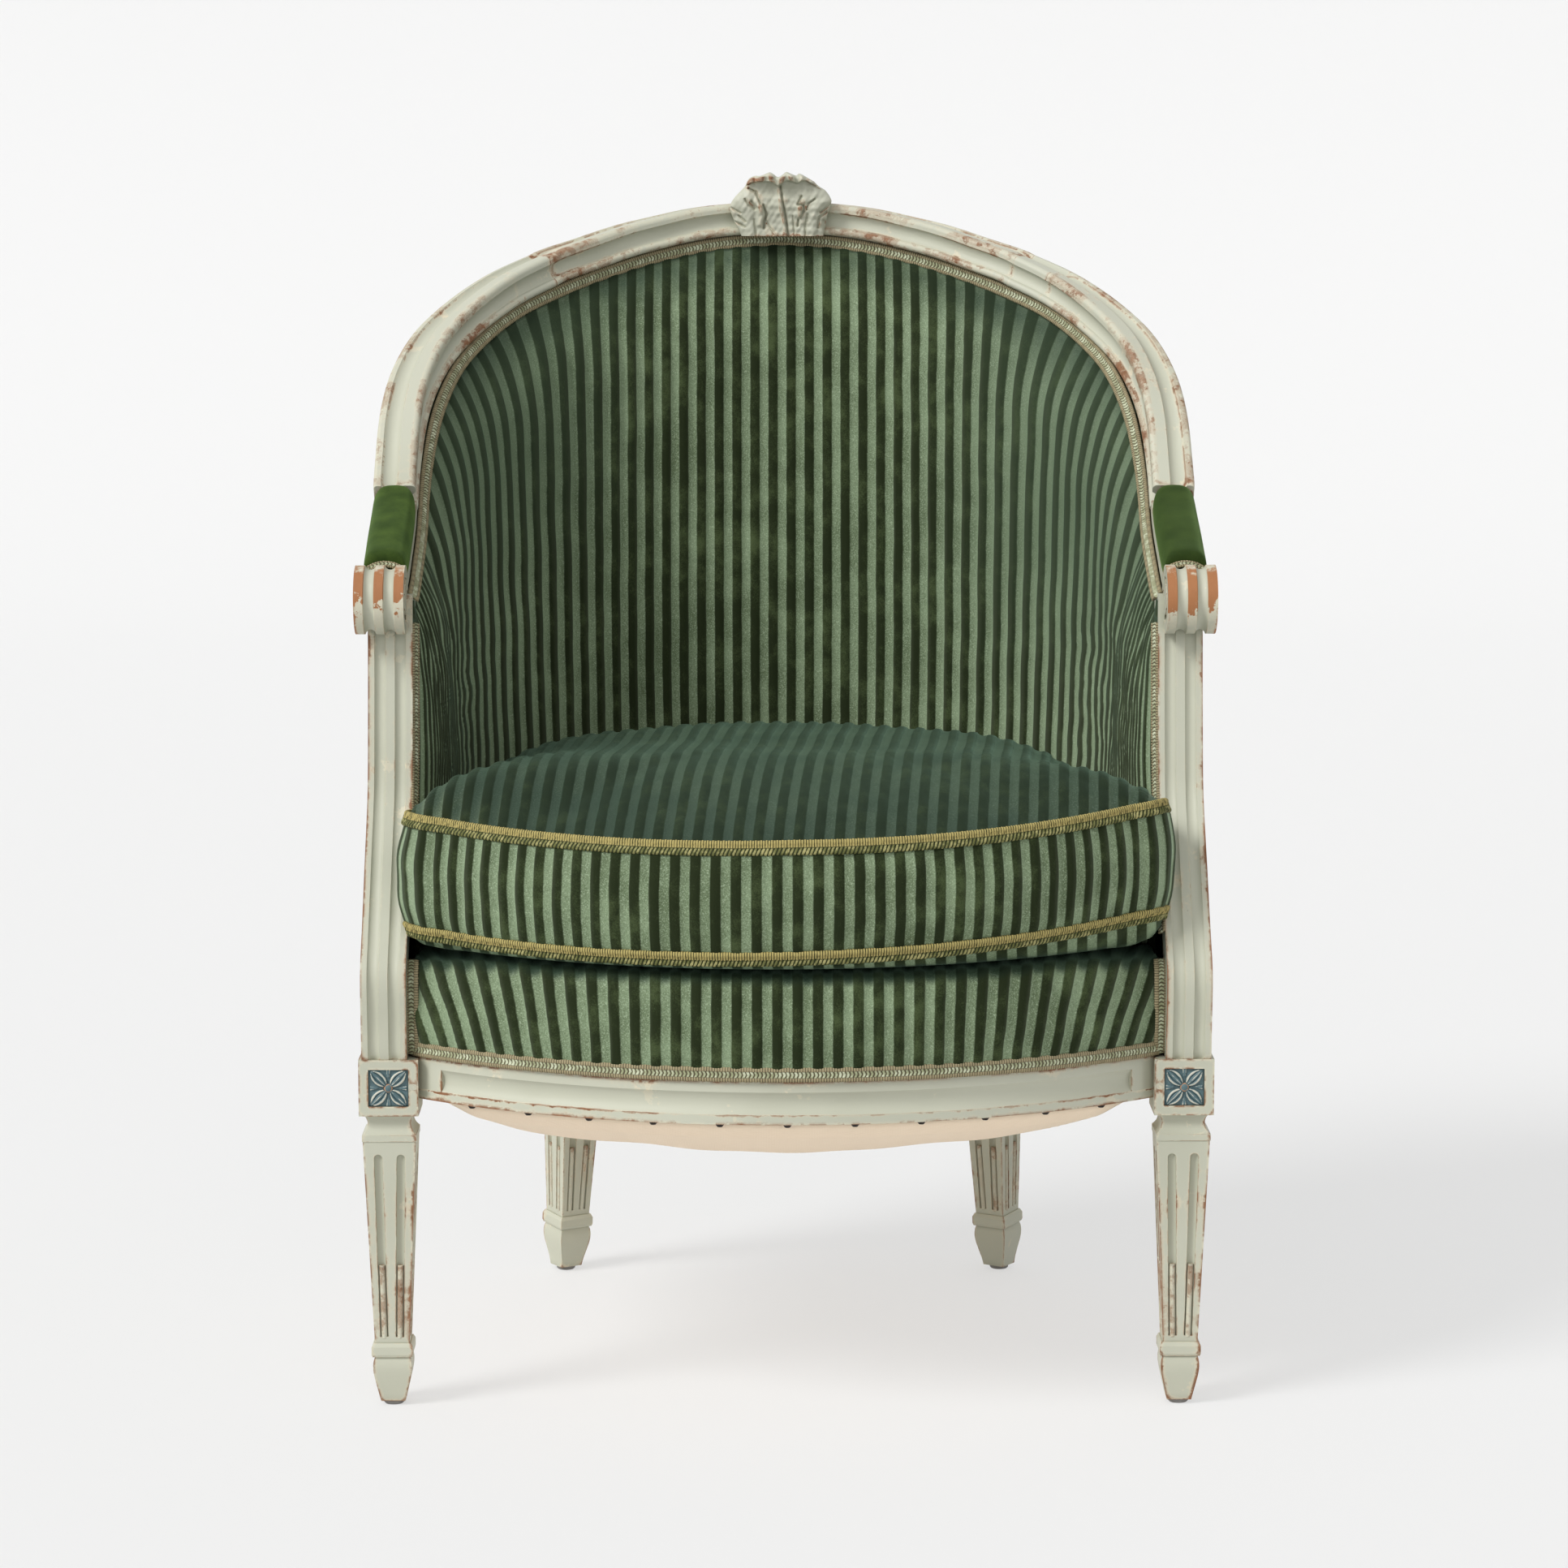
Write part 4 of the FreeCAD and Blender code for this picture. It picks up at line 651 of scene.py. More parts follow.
# Loose cushion
cushion = {"side": 250, "inset": 63.0, "front": -116.0, "halfFront": 292.0, "corner": 28.0, "sideY": 120.0,
           "lowSeam": 377.5, "highSeam": 461.0, "crown": 46.0, "fullness": 3.0, "bulge": 5.2,
           "centre": (0.0, 150.0), "lean": 0.072, "borderRows": 14, "baseRows": 12, "base": 360.0,
           "lowTip": [(-292, -9.5), (-90, -3.2), (50, 0), (292, 4.5)],
           "highTip": [(-292, -10), (-170, -5), (-75, -2), (10, 0), (292, 1)], "leftFull": 6.0, "rightFull": 3.0}


def arcThrough(a, b, c, count):
    (ax, ay), (bx, by), (cx, cy) = a, b, c
    d = 2 * (ax * (by - cy) + bx * (cy - ay) + cx * (ay - by))
    ux = ((ax ** 2 + ay ** 2) * (by - cy) + (bx ** 2 + by ** 2) * (cy - ay) + (cx ** 2 + cy ** 2) * (ay - by)) / d
    uy = ((ax ** 2 + ay ** 2) * (cx - bx) + (bx ** 2 + by ** 2) * (ax - cx) + (cx ** 2 + cy ** 2) * (bx - ax)) / d
    radius = math.hypot(ax - ux, ay - uy)
    first = math.atan2(ay - uy, ax - ux)
    last = math.atan2(cy - uy, cx - ux)
    return [(ux + radius * math.cos(t), uy + radius * math.sin(t)) for t in np.linspace(first, last, count)]


def cushionOutline():  # right half, from the front centre to the back centre
    radius = frontArc["radius"]
    half, corner = cushion["halfFront"], cushion["corner"]
    lead = half - corner
    leadY = cushion["front"] + radius - math.sqrt(radius ** 2 - lead ** 2)
    points = [(x, cushion["front"] + radius - math.sqrt(radius ** 2 - x * x)) for x in np.linspace(0, lead, 80)]
    points += arcThrough((lead, leadY), (half - corner * 0.25, leadY + corner * 0.5),
                         (half, leadY + corner * 1.3), 20)
    side = plan["halfWidth"] - cushion["inset"]
    points += [(half + (side - half) * t, leadY + corner * 1.3 + (cushion["sideY"] - leadY - corner * 1.3) * t)
               for t in np.linspace(0, 1, 40)]
    points += [(side, y) for y in np.linspace(cushion["sideY"], plan["sideEnd"], 20)]
    deep = plan["shoulder"] - cushion["inset"]
    points += [(shoulderX + deep * math.sin(t), plan["sideEnd"] + deep * math.cos(t))
               for t in np.linspace(math.pi / 2, plan["legTurn"], 60)]
    rear = backRadius - cushion["inset"]
    points += [(rear * math.sin(t), backCentre + rear * math.cos(t))
               for t in np.linspace(plan["legTurn"], 0, 50)]
    return np.array(points)


def walked(points):
    return np.concatenate([[0], np.cumsum(np.hypot(*np.diff(points, axis=0).T))])


halfOutline = cushionOutline()
wholeOutline = np.concatenate([halfOutline, halfOutline[::-1][1:] * (-1, 1)])  # back to the front centre
wholeWalk = walked(wholeOutline)
keep = np.concatenate([[True], np.diff(wholeWalk) > 1e-6])
wholeOutline, wholeWalk = wholeOutline[keep], wholeWalk[keep]
around = wholeWalk[-1]
fromCorner = np.abs(wholeOutline[:, 0] - (cushion["halfFront"] - 8)) + (wholeOutline[:, 1] > 0) * 900
cornerWalk = wholeWalk[np.argmin(fromCorner)]
shoulderWalk = around / 2 - 255.0


def outlineAt(walk):
    walk = np.mod(walk, around)
    return np.interp(walk, wholeWalk, wholeOutline[:, 0]), np.interp(walk, wholeWalk, wholeOutline[:, 1])


def squareWalk(u, v):  # which point of the outline a direction in the square points at
    big = np.maximum(np.maximum(np.abs(u), np.abs(v)), 1e-9)
    a, b = u / big, v / big
    front = a * cornerWalk
    right = cornerWalk + (b + 1) / 2 * (shoulderWalk - cornerWalk)
    rear = shoulderWalk + (1 - a) / 2 * (around - 2 * shoulderWalk)
    walk = np.where(b <= -1 + 1e-9, front, np.where(b >= 1 - 1e-9, rear, np.where(a > 0, right, -right)))
    return walk, big


def seamDrop(x, y, rise):  # the front of the cushion hangs a little at its middle
    corner = np.minimum(np.abs(x) / 290, 1) ** 2.2 * fade(y, 90, -30)
    tipped = np.interp(x, *zip(*cushion["highTip" if rise > 15 else "lowTip"])) * fade(y, 90, -30)
    return rise * corner + tipped - 4.3 * (rise / 16.3) - 6.0 * fade(y, 60, 200) * (rise > 15)


def cushionStripe(x, y):
    return (x - cushion["lean"] * (y - cushion["front"])) / stripe


def topPlace(u, v):
    a, b = u * 2 - 1, v * 2 - 1
    walk, share = squareWalk(a, b)
    ox, oy = outlineAt(walk)
    cx, cy = cushion["centre"]
    x, y = cx + (ox - cx) * share, cy + (oy - cy) * share
    cornerFull = np.where(ox < 0, cushion["leftFull"], cushion["rightFull"])
    cornerFull = cornerFull * fade(np.abs(ox), 190, 290) * fade(oy, 130, -30)
    full = cushion["fullness"] + 3.6 * fade(oy, -30, 130) + cornerFull
    z = cushion["highSeam"] + seamDrop(x, y, 16.3) + cushion["crown"] * (1 - share ** full)
    count = cushionStripe(x, y)
    points = np.stack([x, y - plan["forward"], z], -1)
    rim = 1 - fade(share, 0.975, 0.998)
    lumps = 1.3 * waves(21, x, y, 150) * (1 - share ** 4)
    lumps = lumps + 0.35 * waves(22, x, y * 0.5, 24) * rim * fade(share, 0.5, 0.95)
    return raised(points, (ribs(count) + lumps) * rim), np.stack([count, y * 0.001], -1)


def rimWalk(u):  # the same rim points as the square grid of the top, counted from the front left corner
    side = cushion["side"]
    i = np.round(u * 4 * side).astype(int) % (4 * side)
    part, step = i // side, (i % side) / side * 2 - 1
    a = np.select([part == 0, part == 1, part == 2], [step, np.ones_like(step), -step], -np.ones_like(step))
    b = np.select([part == 0, part == 1, part == 2], [-np.ones_like(step), step, np.ones_like(step)], -step)
    return squareWalk(a, b)[0]


def outlineNormal(walk):
    ax, ay = outlineAt(walk - 4)
    bx, by = outlineAt(walk + 4)
    return unit(np.stack([by - ay, ax - bx], -1))


def borderPlace(u, v):
    walk = rimWalk(u)
    x, y = outlineAt(walk)
    out = outlineNormal(walk)
    low = cushion["lowSeam"] + seamDrop(x, y, 12.5)
    high = cushion["highSeam"] + seamDrop(x, y, 16.3)
    free = fade(y, 95, -10)  # only the front stands clear of the arms
    bulge = np.sin(v * math.pi) ** 0.7 * (cushion["bulge"] * 0.35 + cushion["bulge"] * 1.1 * free)
    count = walk / stripe
    hold = fade(v, 0, 0.08) * (1 - fade(v, 0.92, 1))
    pleats = 0.8 * waves(31, walk, v * 60, 34) * hold * free
    height = bulge + (ribs(count) * 0.9 + pleats) * hold
    x, y = x + out[..., 0] * height, y + out[..., 1] * height
    return np.stack([x, y - plan["forward"], low + (high - low) * v], -1), np.stack([count, v * 0.09], -1)


def basePlace(u, v):
    walk = rimWalk(u)
    ox, oy = outlineAt(walk)
    cx, cy = cushion["centre"]
    share = 1 - v ** 2
    x, y = cx + (ox - cx) * share, cy + (oy - cy) * share
    rim = cushion["lowSeam"] + seamDrop(ox, oy, 12.5)
    z = rim + (cushion["base"] - rim) * (1 - share ** 24) ** 0.5
    return np.stack([x, y - plan["forward"], z], -1), np.stack([cushionStripe(x, y), y * 0.001], -1)


cushionPieces = [gridPiece("seat_cushion_velvet", cushion["side"], cushion["side"], topPlace),
                 gridPiece("cushionBorder", 4 * cushion["side"], cushion["borderRows"], borderPlace),
                 gridPiece("cushionBase", 4 * cushion["side"], cushion["baseRows"], basePlace)]
seatCushion = tidyMesh(joinPieces("seat_cushion_velvet", cushionPieces))
setPiece(seatCushion, "cushion", "striped_velvet", finishes["velvet"], "seat_cushion")
print("cushion made")


# Braids
def braid(name, path, face, across, width, thick, closed=False, pitch=1.1):
    walk = np.concatenate([[0], np.cumsum(np.linalg.norm(np.diff(path, axis=0), axis=1))])
    columns = max(int(walk[-1] / pitch), 4)
    front = 13
    rows = front + 2

    def place(u, v):
        at = u * walk[-1]

        def along(table):
            return np.stack([np.interp(at, walk, table[:, k]) for k in range(3)], -1)

        row = np.round(v * rows).astype(int) % rows
        w = np.where(row < front, row / (front - 1) * 2 - 1, np.where(row == front, 1.0, -1.0))
        side = np.abs(w)
        rope = np.abs(np.sin((at + side * 2.4) * math.pi / 3.0))
        ladder = np.abs(np.sin(at * math.pi / 2.0))
        onEdge = fade(side, 0.38, 0.46)
        fall = np.sqrt(np.clip(1.02 - side ** 6, 0, 1))
        height = 0.42 + 0.46 * rope * (1 - onEdge) + (0.30 + 0.24 * ladder) * onEdge * fall
        height = np.where(row < front, height, 0.0) * thick
        narrow = width / 2 * (1 + 0.03 * np.sin(at * math.pi / 2.0))
        if not closed:
            ends = np.minimum(at, walk[-1] - at)
            height = height * fade(ends, 0, 1.2)
            narrow = narrow * np.where(ends < 1e-6, 0.0, 1.0)
        points = along(path) + unit(along(face)) * height[..., None] + unit(along(across)) * (w * narrow)[..., None]
        return points, np.stack([at * 0.1, (w + 1) / 2], -1)

    return tidyMesh(gridPiece(name, columns, rows, place), 0.00002)


goldBraid = {"width": 11.5, "thick": 3.4, "stand": 0.6}
seamWalk = np.linspace(0, around, 1400)
for braidName, node, seam, rise in (("cushion_braid_upper", "cushion_gimp_upper", cushion["highSeam"], 16.3),
                                    ("cushion_braid_lower", "cushion_gimp_lower", cushion["lowSeam"], 12.5)):
    sx, sy = outlineAt(seamWalk)
    outward = outlineNormal(seamWalk)
    standX, standY = outward[:, 0] * goldBraid["stand"], outward[:, 1] * goldBraid["stand"]
    seamPath = np.stack([sx + standX, sy + standY - plan["forward"], seam + seamDrop(sx, sy, rise)], -1)
    tilt = 0.35 if node.endswith("upper") else -0.30
    facing = unit(np.stack([outward[:, 0], outward[:, 1], 0 * sx + tilt], -1))
    acrossSeam = unit(np.stack([-outward[:, 0] * tilt, -outward[:, 1] * tilt, 0 * sx + 1], -1))
    seamBraid = braid(braidName, seamPath, facing, acrossSeam, goldBraid["width"], goldBraid["thick"], closed=True)
    setPiece(seamBraid, "cushion", "gold_braid", finishes["goldBraid"], node)
print("cushion braids made")

paleBraid = {"width": 10.8, "thick": 2.8}
backStations = np.linspace(-616, 616, 900)
tip = 0.80 * fade(np.abs(backStations), 140, 420)
seamDepth = 26.8 + 4.6 * np.sin(tip) + armStand(backStations)
inner, towardBack, towardTop = framePlace(backStations, seamDepth, 33.2 + 0 * backStations)
rolled, pitched = np.cos(tip)[:, None], np.sin(tip)[:, None]
backBraid = braid("back_braid", inner, towardTop * pitched - towardBack * rolled,
                  towardTop * rolled + towardBack * pitched, paleBraid["width"], paleBraid["thick"])
setPiece(backBraid, "chair", "pale_braid", finishes["paleBraid"], "back_gimp")

footX = np.linspace(-288, 288, 400)
footRadius = frontArc["radius"] + 1.4
footDeep = np.sqrt(footRadius ** 2 - footX ** 2)
footY = frontArc["front"] + frontArc["radius"] - footDeep - plan["forward"]
footPath = np.stack([footX, footY, 0 * footX + 284.0], -1)
footFace = unit(np.stack([footX, -footDeep, 0 * footX], -1))
upward = np.tile([0.0, 0.0, 1.0], (400, 1))
deckBraids = [braid("seat_front_braid", footPath, footFace, upward, 11.2, 2.6)]
for sign in (-1, 1):
    endZ = np.linspace(279, 353, 60)
    endX = 288.4 + 0 * endZ
    endY = frontArc["front"] + frontArc["radius"] - np.sqrt(frontArc["radius"] ** 2 - endX ** 2) - plan["forward"]
    endY = endY - 2.4 - 3.2 * np.sin((endZ - 279) / 70 * math.pi).clip(0, 1) + 9 * fade(endZ, 344, 356)
    endPath = np.stack([sign * endX, endY, endZ], -1)
    endFace = np.tile(unit(np.array([sign * 0.40, -0.92, 0.0])), (60, 1))
    endAcross = np.tile(unit(np.array([sign * 0.92, 0.40, 0.0])), (60, 1))
    deckBraids.append(braid("deckEnd", endPath, endFace, endAcross, 11.0, 2.4))
deckBraid = joinPieces("seat_front_braid", deckBraids)
setPiece(deckBraid, "chair", "pale_braid", finishes["paleBraid"], "seat_front_gimp")

outsideStations = np.linspace(-650, 650, 900)
ox, oy = planPoint(outsideStations, -0.6 + 0 * outsideStations)
turn = planTurn(outsideStations)
outsideFace = np.stack([np.where(outsideStations < 0, -1, 1) * np.sin(turn), np.cos(turn), 0 * turn], -1)
outsidePath = np.stack([ox, oy - plan["forward"], 0 * ox + 284.2], -1)
outsideBraid = braid("outside_braid", outsidePath, outsideFace, np.tile([0.0, 0.0, 1.0], (900, 1)), 10.6, 2.4)
setPiece(outsideBraid, "chair", "pale_braid", finishes["paleBraid"], "outside_gimp")

for sign, hand in ((-1, "left"), (1, "right")):
    stumpZ = np.linspace(372, 604, 200)
    stumpY = smoothLine(supportLine, stumpZ) + 5.4
    stumpPath = np.stack([sign * (291.2 + 0 * stumpZ), stumpY - plan["forward"], stumpZ], -1)
    run = unit(np.gradient(stumpPath, axis=0))
    stumpFace = unit(np.stack([-sign * (0.80 + 0 * stumpZ), -0.60 + 0 * stumpZ, 0 * stumpZ], -1))
    stumpFace = unit(stumpFace - run * (run * stumpFace).sum(-1, keepdims=True))
    stumpBraid = braid("arm_front_braid_" + hand, stumpPath, stumpFace, np.cross(run, stumpFace), 9.0, 2.4)
    setPiece(stumpBraid, "chair", "pale_braid", finishes["paleBraid"], "arm_front_gimp_" + hand)
print("frame braids made")

# Arm pads
padShape = {"rear": 489.6, "front": 618.5, "seat": 15.6, "crown": 22.5, "columns": 60, "rows": 40}


def armPad(hand, sign):
    def place(u, v):
        station = padShape["rear"] + (padShape["front"] - padShape["rear"]) * (0.5 - 0.5 * np.cos(u * math.pi))
        ends = np.clip(1 - np.abs(u * 2 - 1) ** 9, 0, 1) ** 0.42
        tall = padShape["crown"] * (0.90 + 0.10 * np.sin(u * math.pi)) * ends
        angle = v * math.pi
        station = station + 7.0 * np.cos(angle) ** 2 * (1 - fade(u, 0, 0.45))  # rounded at the rear
        wide = (16.6 + 0.8 * np.sin(u * math.pi)) * (0.9 + 0.1 * ends)
        a = 17.0 - np.sign(np.cos(angle)) * np.abs(np.cos(angle)) ** 0.62 * wide
        b = padShape["seat"] - np.abs(np.sin(angle)) ** 0.60 * tall
        points, _, _ = framePlace(sign * station, a, b)
        return points, np.stack([station * 0.001, v], -1)

    pad = gridPiece("arm_pad_velvet_" + hand, padShape["columns"], padShape["rows"], place)
    takeUp(pad)
    bpy.ops.object.mode_set(mode="EDIT")
    bpy.ops.mesh.select_all(action="SELECT")
    bpy.ops.mesh.remove_doubles(threshold=0.00005)
    bpy.ops.mesh.select_all(action="DESELECT")
    bpy.ops.mesh.select_non_manifold()
    bpy.ops.mesh.edge_face_add()  # the seat of the pad on the arm
    bpy.ops.mesh.select_all(action="SELECT")
    bpy.ops.mesh.normals_make_consistent(inside=False)
    bpy.ops.object.mode_set(mode="OBJECT")
    setPiece(pad, "chair", "plain_velvet", finishes["padVelvet"], "arm_pad_" + hand)
    edgeA = np.linspace(1.5, 33.0, 60)
    arch = np.sin((edgeA - 0.5) / 34 * math.pi)
    edgeDrop = padShape["seat"] - 1.5 - 9.0 * np.clip(arch, 0, 1) ** 0.6
    edgePath, _, _ = framePlace(sign * (620.5 + 0 * edgeA), edgeA, edgeDrop)
    forward = np.tile([0.0, -0.82, 0.57], (60, 1))
    run = unit(np.gradient(edgePath, axis=0))
    endBraid = braid("arm_pad_braid_" + hand, edgePath, forward, np.cross(run, forward), 5.5, 2.2)
    setPiece(endBraid, "chair", "pale_braid", finishes["paleBraid"], "arm_pad_gimp_" + hand)


armPad("right", 1)
armPad("left", -1)
print("arm pads made")

# Dust cloth under the seat
dustShape = {"side": 90, "rim": 243.6, "lowest": 180.5}


def dustOutline(walkShare):  # share of the way round from the front centre
    half = []
    radius = frontArc["radius"]
    front = frontArc["front"] + 9
    for x in np.linspace(0, 250, 60):
        half.append((x, front + radius - math.sqrt(radius ** 2 - x * x)))
    half += [(x, y) for x, y in zip(np.linspace(256, 306, 14), np.linspace(-18, 92, 14))]
    half += [(309, y) for y in np.linspace(98, plan["sideEnd"], 20)]
    deep = plan["shoulder"] - 9
    half += [(shoulderX + deep * math.sin(t), plan["sideEnd"] + deep * math.cos(t))
             for t in np.linspace(math.pi / 2, plan["legTurn"], 50)]
    half += [((backRadius - 9) * math.sin(t), backCentre + (backRadius - 9) * math.cos(t))
             for t in np.linspace(plan["legTurn"], 0, 40)]
    half = np.array(half)
    whole = np.concatenate([half, half[::-1][1:] * (-1, 1)])
    walk = walked(whole)
    at = np.mod(walkShare, 1) * walk[-1]
    return np.interp(at, walk, whole[:, 0]), np.interp(at, walk, whole[:, 1])


def dustPlace(u, v):
    a, b = u * 2 - 1, v * 2 - 1
    walk, share = squareWalk(a, b)
    ox, oy = dustOutline(walk / around)
    x, y = ox * share, 150 + (oy - 150) * share
    sag = (1 - share ** 2.0) * 0.89 + 0.11 * fade(1 - share, 0, 0.05)
    z = dustShape["rim"] - (dustShape["rim"] - dustShape["lowest"]) * sag
    loose = (1 - share ** 3) * fade(1 - share, 0, 0.2)
    z = z + loose * (2.0 * waves(41, x, y, 210) + 0.9 * waves(42, x, y * 0.4, 60))
    return np.stack([x, y - plan["forward"], z], -1), np.stack([x * 0.001, y * 0.001], -1)


dustCover = thicken(gridPiece("dust_cover_cloth", dustShape["side"], dustShape["side"], dustPlace), 0.0008, 0.0)
setPiece(dustCover, "chair", "dust_cloth", finishes["dust"], "dust_cover")
print("dust cloth made")

# Rosettes on the front leg blocks
rosetteShape = {"half": 15.4, "tall": 14.4, "count": 72, "depth": 3.9}


def rosettePlace(u, v):
    x, z = (u * 2 - 1) * rosetteShape["half"], (v * 2 - 1) * rosetteShape["tall"]
    p, q = (x + z) / math.sqrt(2), (x - z) / math.sqrt(2)
    ridge = 0 * x
    height = 0 * x
    for along, across in ((p, q), (q, p)):
        reach = np.abs(along)
        half = 5.3 * np.sin(np.clip((reach - 2.2) / 16.5, 0, 1) * math.pi) ** 0.7
        inside = np.clip(1 - np.abs(across) / np.maximum(half, 0.05), 0, 1)
        leaf = fade(inside, 0, 0.30) * (1 - 0.70 * np.exp(-((inside - 0.62) / 0.14) ** 2)) * (reach > 2.2)
        height = np.maximum(height, leaf * 2.3)
        ridge = np.maximum(ridge, np.exp(-((inside - 0.30) / 0.13) ** 2) * (reach > 3))
        ridge = np.maximum(ridge, 0.8 * fade(inside, 0.86, 0.97) * (reach > 4))
    for along, across in ((np.abs(x), z), (np.abs(z), x)):  # small tips between the petals
        half = 2.6 * np.clip((along - 6.5) / 8, 0, 1)
        inside = np.clip(1 - np.abs(across) / np.maximum(half, 0.05), 0, 1) * (along < 14)
        height = np.maximum(height, fade(inside, 0, 0.5) * 1.2)
        ridge = np.maximum(ridge, fade(inside, 0.25, 0.5) * (1 - fade(inside, 0.6, 0.95)) * 0.8)
    centre = np.hypot(x, z)
    boss = 2.7 * np.sqrt(np.clip(1 - (centre / 3.5) ** 2, 0, 1))
    ring = np.exp(-((centre - 2.6) / 0.7) ** 2)
    height = np.maximum(height, boss)
    ridge = np.maximum(ridge, ring * 0.9)
    rim = np.maximum(np.abs(x) / rosetteShape["half"], np.abs(z) / rosetteShape["tall"])
    height = np.where(rim > 0.999, -1.5, height)
    points = np.stack([x, rosetteShape["depth"] - 1.5 - height, z], -1)
    return points, np.stack([ridge * 0.95, ring * 0.9 * (centre < 4)], -1)


flowers = []
for sign in (-1, 1):
    for facing in ("front", "outer"):
        flower = gridPiece("rosette", rosetteShape["count"], rosetteShape["count"], rosettePlace)
        onFront = facing == "front"
        turnBy = 0.0 if onFront else sign * math.pi / 2
        shift = (sign * (307 if onFront else 330), (-23 if onFront else 0) - plan["forward"], 255)
        flower.data.transform(Euler((0, 0, turnBy)).to_matrix().to_4x4())
        flower.data.transform(Matrix.Translation([c * 0.001 for c in shift]))
        flowers.append(flower)
rosettes = thicken(joinPieces("corner_rosette_flowers", flowers), 0.0006, 1.0)
setPiece(rosettes, "chair", "rosette_paint", finishes["rosette"], "corner_rosettes")
print("rosettes carved")

# Carved shell on the crest: a leaf relief in front of a solid back
shell = {"front": 299.6, "low": 897.0, "columns": 190, "rows": 120, "deep": 0.0335, "lip": 7.5,
         "left": [(890, 32), (903, 38), (910, 41.5), (922, 45), (930, 41), (939, 32.5), (944, 30), (948, 27),
                  (953, 20)],
         "right": [(890, 35), (906, 38), (916, 40), (924, 42.5), (928, 43), (936, 38), (940, 32), (945, 27),
                   (953, 20)],
         "top": [(-46, 934), (-32, 942), (-26, 948.2), (-20, 948.6), (-13.7, 951.6), (-8, 950), (-3.1, 947.6),
                 (1.5, 950), (5.3, 952), (10, 950.6), (15, 949), (19.6, 950.6), (24, 948), (32, 940), (46, 932)],
         "lipLine": [(-46, 936), (-33, 940), (-26, 942.5), (-15, 943.6), (-8, 942.8), (-3.1, 939.8), (2, 943.6),
                     (8, 944), (13.5, 942.2), (18, 944.6), (26, 942), (34, 937), (46, 932)]}
shellCuts = [  # way of each chisel cut, its half width and depth
    ([(-1.7, 941), (-0.2, 932.7), (1.8, 920.7), (3.8, 909.8), (5.8, 895)], 0.9, 3.0),
    ([(-16.1, 923.5), (-13.4, 915.8), (-15.1, 909.8), (-15.6, 904)], 1.0, 3.6),
    ([(-28.5, 938.1), (-22.6, 934.7), (-20.1, 928.7), (-18.4, 924.5)], 0.9, 3.2),
    ([(-32, 928.7), (-28.5, 923.7), (-23.6, 920.2)], 0.9, 2.6),
    ([(-26.5, 926.7), (-22.0, 920.9)], 1.1, 2.8),
    ([(-46, 922.2), (-35.5, 916.7)], 0.8, 2.2),
    ([(-37.5, 914.5), (-31.5, 909.3)], 0.8, 2.2),
    ([(-43, 910.5), (-32, 904.8)], 0.8, 2.2),
    ([(13.8, 924.4), (18.7, 923.2), (19.4, 919.7), (16.3, 912.8)], 1.0, 3.4),
    ([(16.9, 931.2), (14.6, 926.2)], 1.0, 3.0),
    ([(28.5, 928.7), (22.7, 924.7), (21.7, 919.7)], 0.8, 2.4),
    ([(43, 924.7), (33.2, 917.2)], 0.8, 2.2),
    ([(38.5, 917.5), (32.2, 912.8), (31.2, 904)], 0.9, 2.6),
    ([(14.3, 910.8), (13.8, 905.8)], 0.9, 2.6),
    ([(22.2, 915.8), (20.2, 905.8), (20.6, 894)], 0.9, 1.8),
    ([(36.8, 909.5), (37.4, 903)], 1.7, 3.4),
    ([(-13.6, 909.8), (-8.6, 901.8), (-4.6, 895)], 0.8, 1.6),
    ([(-24, 911), (-22, 895)], 0.9, 1.6),
    ([(9.5, 914), (11.2, 895)], 0.8, 1.4)]
shellRidges = [
    ([(-2.4, 938), (-1.2, 922), (2.0, 908), (3.4, 895)], 1.6, 1.5),
    ([(-19.0, 922), (-17.8, 914), (-19.0, 907)], 2.4, 2.6),
    ([(16.0, 921), (15.6, 914)], 2.2, 2.4),
    ([(-40, 930), (-30, 918), (-27, 900)], 4.0, 1.8),
    ([(40, 928), (29, 920), (26.5, 900)], 4.0, 1.8)]


def nearWay(x, z, way):
    best = 1e9
    for (ax, az), (bx, bz) in zip(way, way[1:]):
        dx, dz = bx - ax, bz - az
        t = np.clip(((x - ax) * dx + (z - az) * dz) / (dx * dx + dz * dz), 0, 1)
        best = np.minimum(best, np.hypot(x - ax - dx * t, z - az - dz * t))
    return best


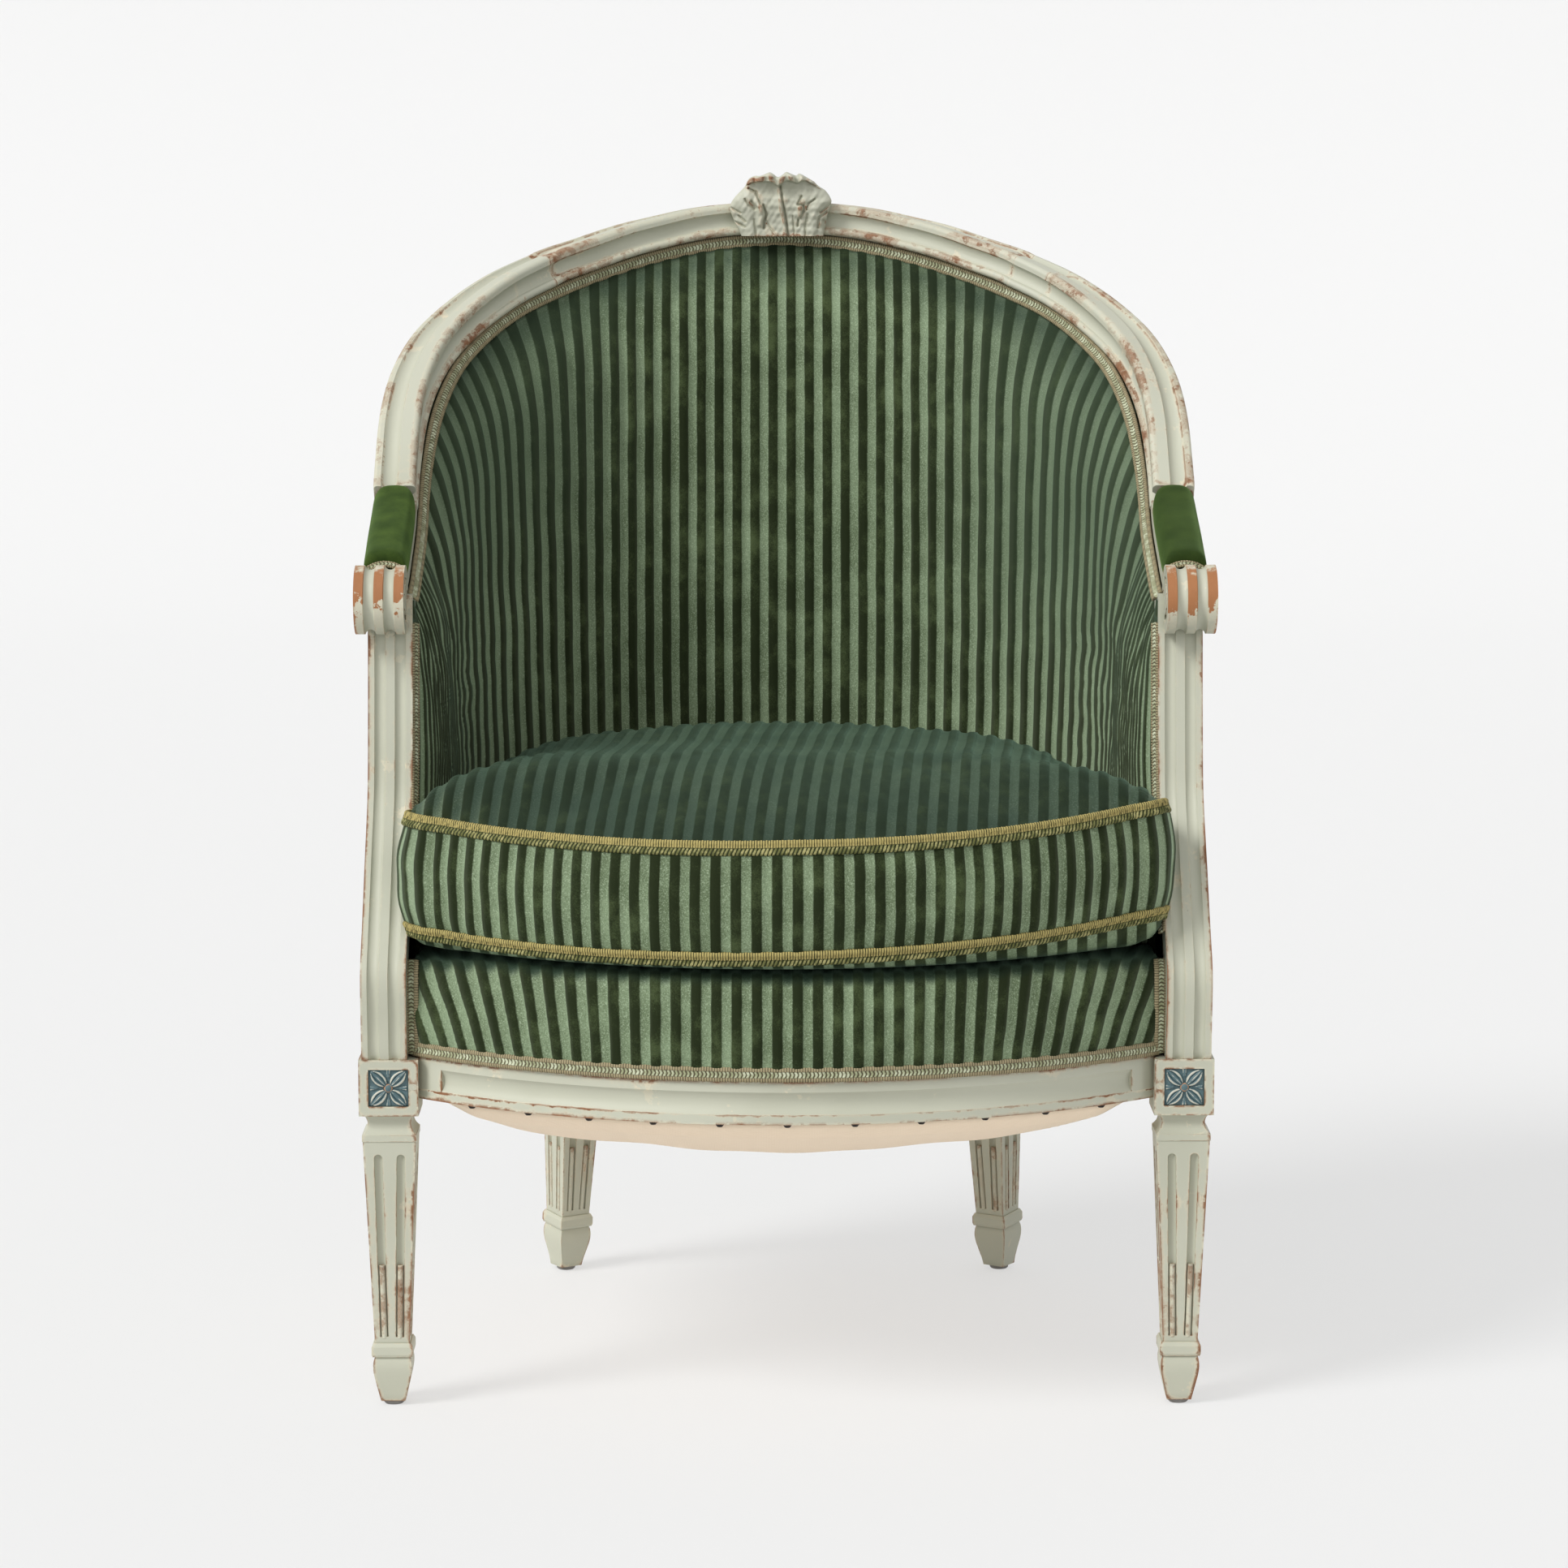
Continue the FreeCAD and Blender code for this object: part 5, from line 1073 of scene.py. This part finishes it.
def shellPlace(u, v):
    a = u * 2 - 1
    z = shell["low"] + (smoothLine(shell["top"], a * 28.0) - shell["low"]) * v
    half = np.where(a < 0, smoothLine(shell["left"], z), smoothLine(shell["right"], z))
    x = a * half
    rounded = np.sqrt(np.clip(1 - np.abs(a) ** 3.2, 0, 1))
    height = 2.0 + 6.5 * rounded + 4.0 * fade(z, 905, 932) * rounded
    fan = np.arctan2(x, z - 868)
    height = height + 1.0 * np.cos(fan * 21) * fade(z, 912, 930) * (1 - fade(np.abs(x), 22, 30))
    height = height - 3.2 * np.exp(-((z - 936) / 7.0) ** 2) * (1 - fade(np.abs(x), 22, 30))  # hollow under the lip
    for way, spread, deep in shellRidges:
        height = height + deep * np.exp(-(nearWay(x, z, way) / spread) ** 2)
    for way, spread, deep in shellCuts:
        height = height - deep * np.exp(-(nearWay(x, z, way) / spread) ** 2)
    curl = fade(z - smoothLine(shell["lipLine"], x), -0.9, 1.0) * (1 - fade(np.abs(x), 28, 36))
    overTop = np.sqrt(np.clip(1 - fade(v, 0.93, 1.0) ** 2, 0, 1))
    height = height + curl * shell["lip"] * (0.75 + 0.25 * np.cos(x * 0.72 + 0.4)) * overTop
    height = height + 0.35 * waves(51, x, z, 7.0)
    y = shell["front"] - height * fade(1 - np.abs(a), 0.0, 0.012)
    return np.stack([x, y, z], -1), np.stack([x * 0.001, z * 0.001], -1)


crestShell = gridPiece("crest_carving_shell", shell["columns"], shell["rows"], shellPlace)
takeUp(crestShell)
bpy.ops.object.mode_set(mode="EDIT")
bpy.ops.mesh.select_all(action="DESELECT")
bpy.ops.mesh.select_mode(type="VERT")
bpy.ops.mesh.select_non_manifold()
bpy.ops.mesh.extrude_region_move(TRANSFORM_OT_translate={"value": (0, shell["deep"], 0)})
bpy.ops.mesh.edge_face_add()
bpy.ops.mesh.select_all(action="SELECT")
bpy.ops.mesh.normals_make_consistent(inside=False)
bpy.ops.object.mode_set(mode="OBJECT")
bpy.ops.object.shade_smooth_by_angle(angle=math.radians(50))
setPiece(crestShell, "chair", "painted_wood", finishes["carving"], "crest_carving")
print("crest carved")

# Stage: seamless pale floor, soft light from the left, camera as in the photograph
clearHands()
bpy.ops.mesh.primitive_plane_add(size=2)
floor = bpy.context.object
floor.name = "floor"
floor.data.transform(Matrix.Diagonal((14, 8, 1, 1)))
bpy.ops.object.mode_set(mode="EDIT")
bpy.ops.mesh.select_all(action="DESELECT")
bpy.ops.object.mode_set(mode="OBJECT")
for edge in floor.data.edges:
    edge.select = all(floor.data.vertices[i].co.y > 7 for i in edge.vertices)
bpy.ops.object.mode_set(mode="EDIT")
bpy.ops.mesh.select_mode(type="EDGE")
bpy.ops.mesh.extrude_region_move(TRANSFORM_OT_translate={"value": (0, 0, 8)})
bpy.ops.object.mode_set(mode="OBJECT")
bend = floor.modifiers.new("curve", "BEVEL")
bend.width = 2.5
bend.segments = 24
bend.angle_limit = math.radians(40)
takeUp(floor)
bpy.ops.object.modifier_apply(modifier="curve")
bpy.ops.object.shade_smooth()
stageLook = {"paper": (0.78, 0.78, 0.775), "glow": (0.908, 0.908, 0.908), "share": 0.62, "world": 0.54}
sweep = Finish("paperSweep")
paper = sweep.add("ShaderNodeBsdfDiffuse", {}, {"Color": stageLook["paper"]})
glow = sweep.add("ShaderNodeEmission", {}, {"Color": stageLook["glow"], "Strength": 1.0})
share = sweep.seen() * stageLook["share"]
floor.data.materials.append(sweep.close(sweep.add("ShaderNodeMixShader", {}, {0: share, 1: paper, 2: glow})))

air = Finish("studioAir", bpy.data.worlds.new("studio"))
airColour = air.blend(air.seen(), (stageLook["world"],) * 3, stageLook["glow"])
studioAir = air.add("ShaderNodeBackground", {}, {"Color": airColour})
bpy.context.scene.world = air.close(studioAir, "ShaderNodeOutputWorld")

lamps = {"key": {"kind": "SUN", "energy": 2.15, "angle": 22.0, "turn": (50.0, 0.0, -56.0)},
         "front": {"kind": "SUN", "energy": 0.42, "angle": 60.0, "turn": (58.0, 0.0, -8.0)}}
for lampName, lamp in lamps.items():
    light = bpy.data.lights.new(lampName, lamp["kind"])
    light.energy = lamp["energy"]
    light.angle = math.radians(lamp["angle"])
    lampObject = bpy.data.objects.new(lampName, light)
    lampObject.rotation_euler = [math.radians(a) for a in lamp["turn"]]
    bpy.context.scene.collection.objects.link(lampObject)

lens = {"place": (-0.027, -3.7198, 0.975), "pitch": 7.9147, "yaw": 0.412, "focal": 105.49}
cameraData = bpy.data.cameras.new("photo")
cameraData.lens = lens["focal"]
cameraData.sensor_width = 36.0
cameraData.sensor_fit = "HORIZONTAL"
camera = bpy.data.objects.new("photo", cameraData)
camera.location = lens["place"]
camera.rotation_euler = (math.radians(90 - lens["pitch"]), 0, math.radians(-lens["yaw"]))
bpy.context.scene.collection.objects.link(camera)
bpy.context.scene.camera = camera
bpy.context.scene.view_settings.view_transform = "Standard"
print("stage set")
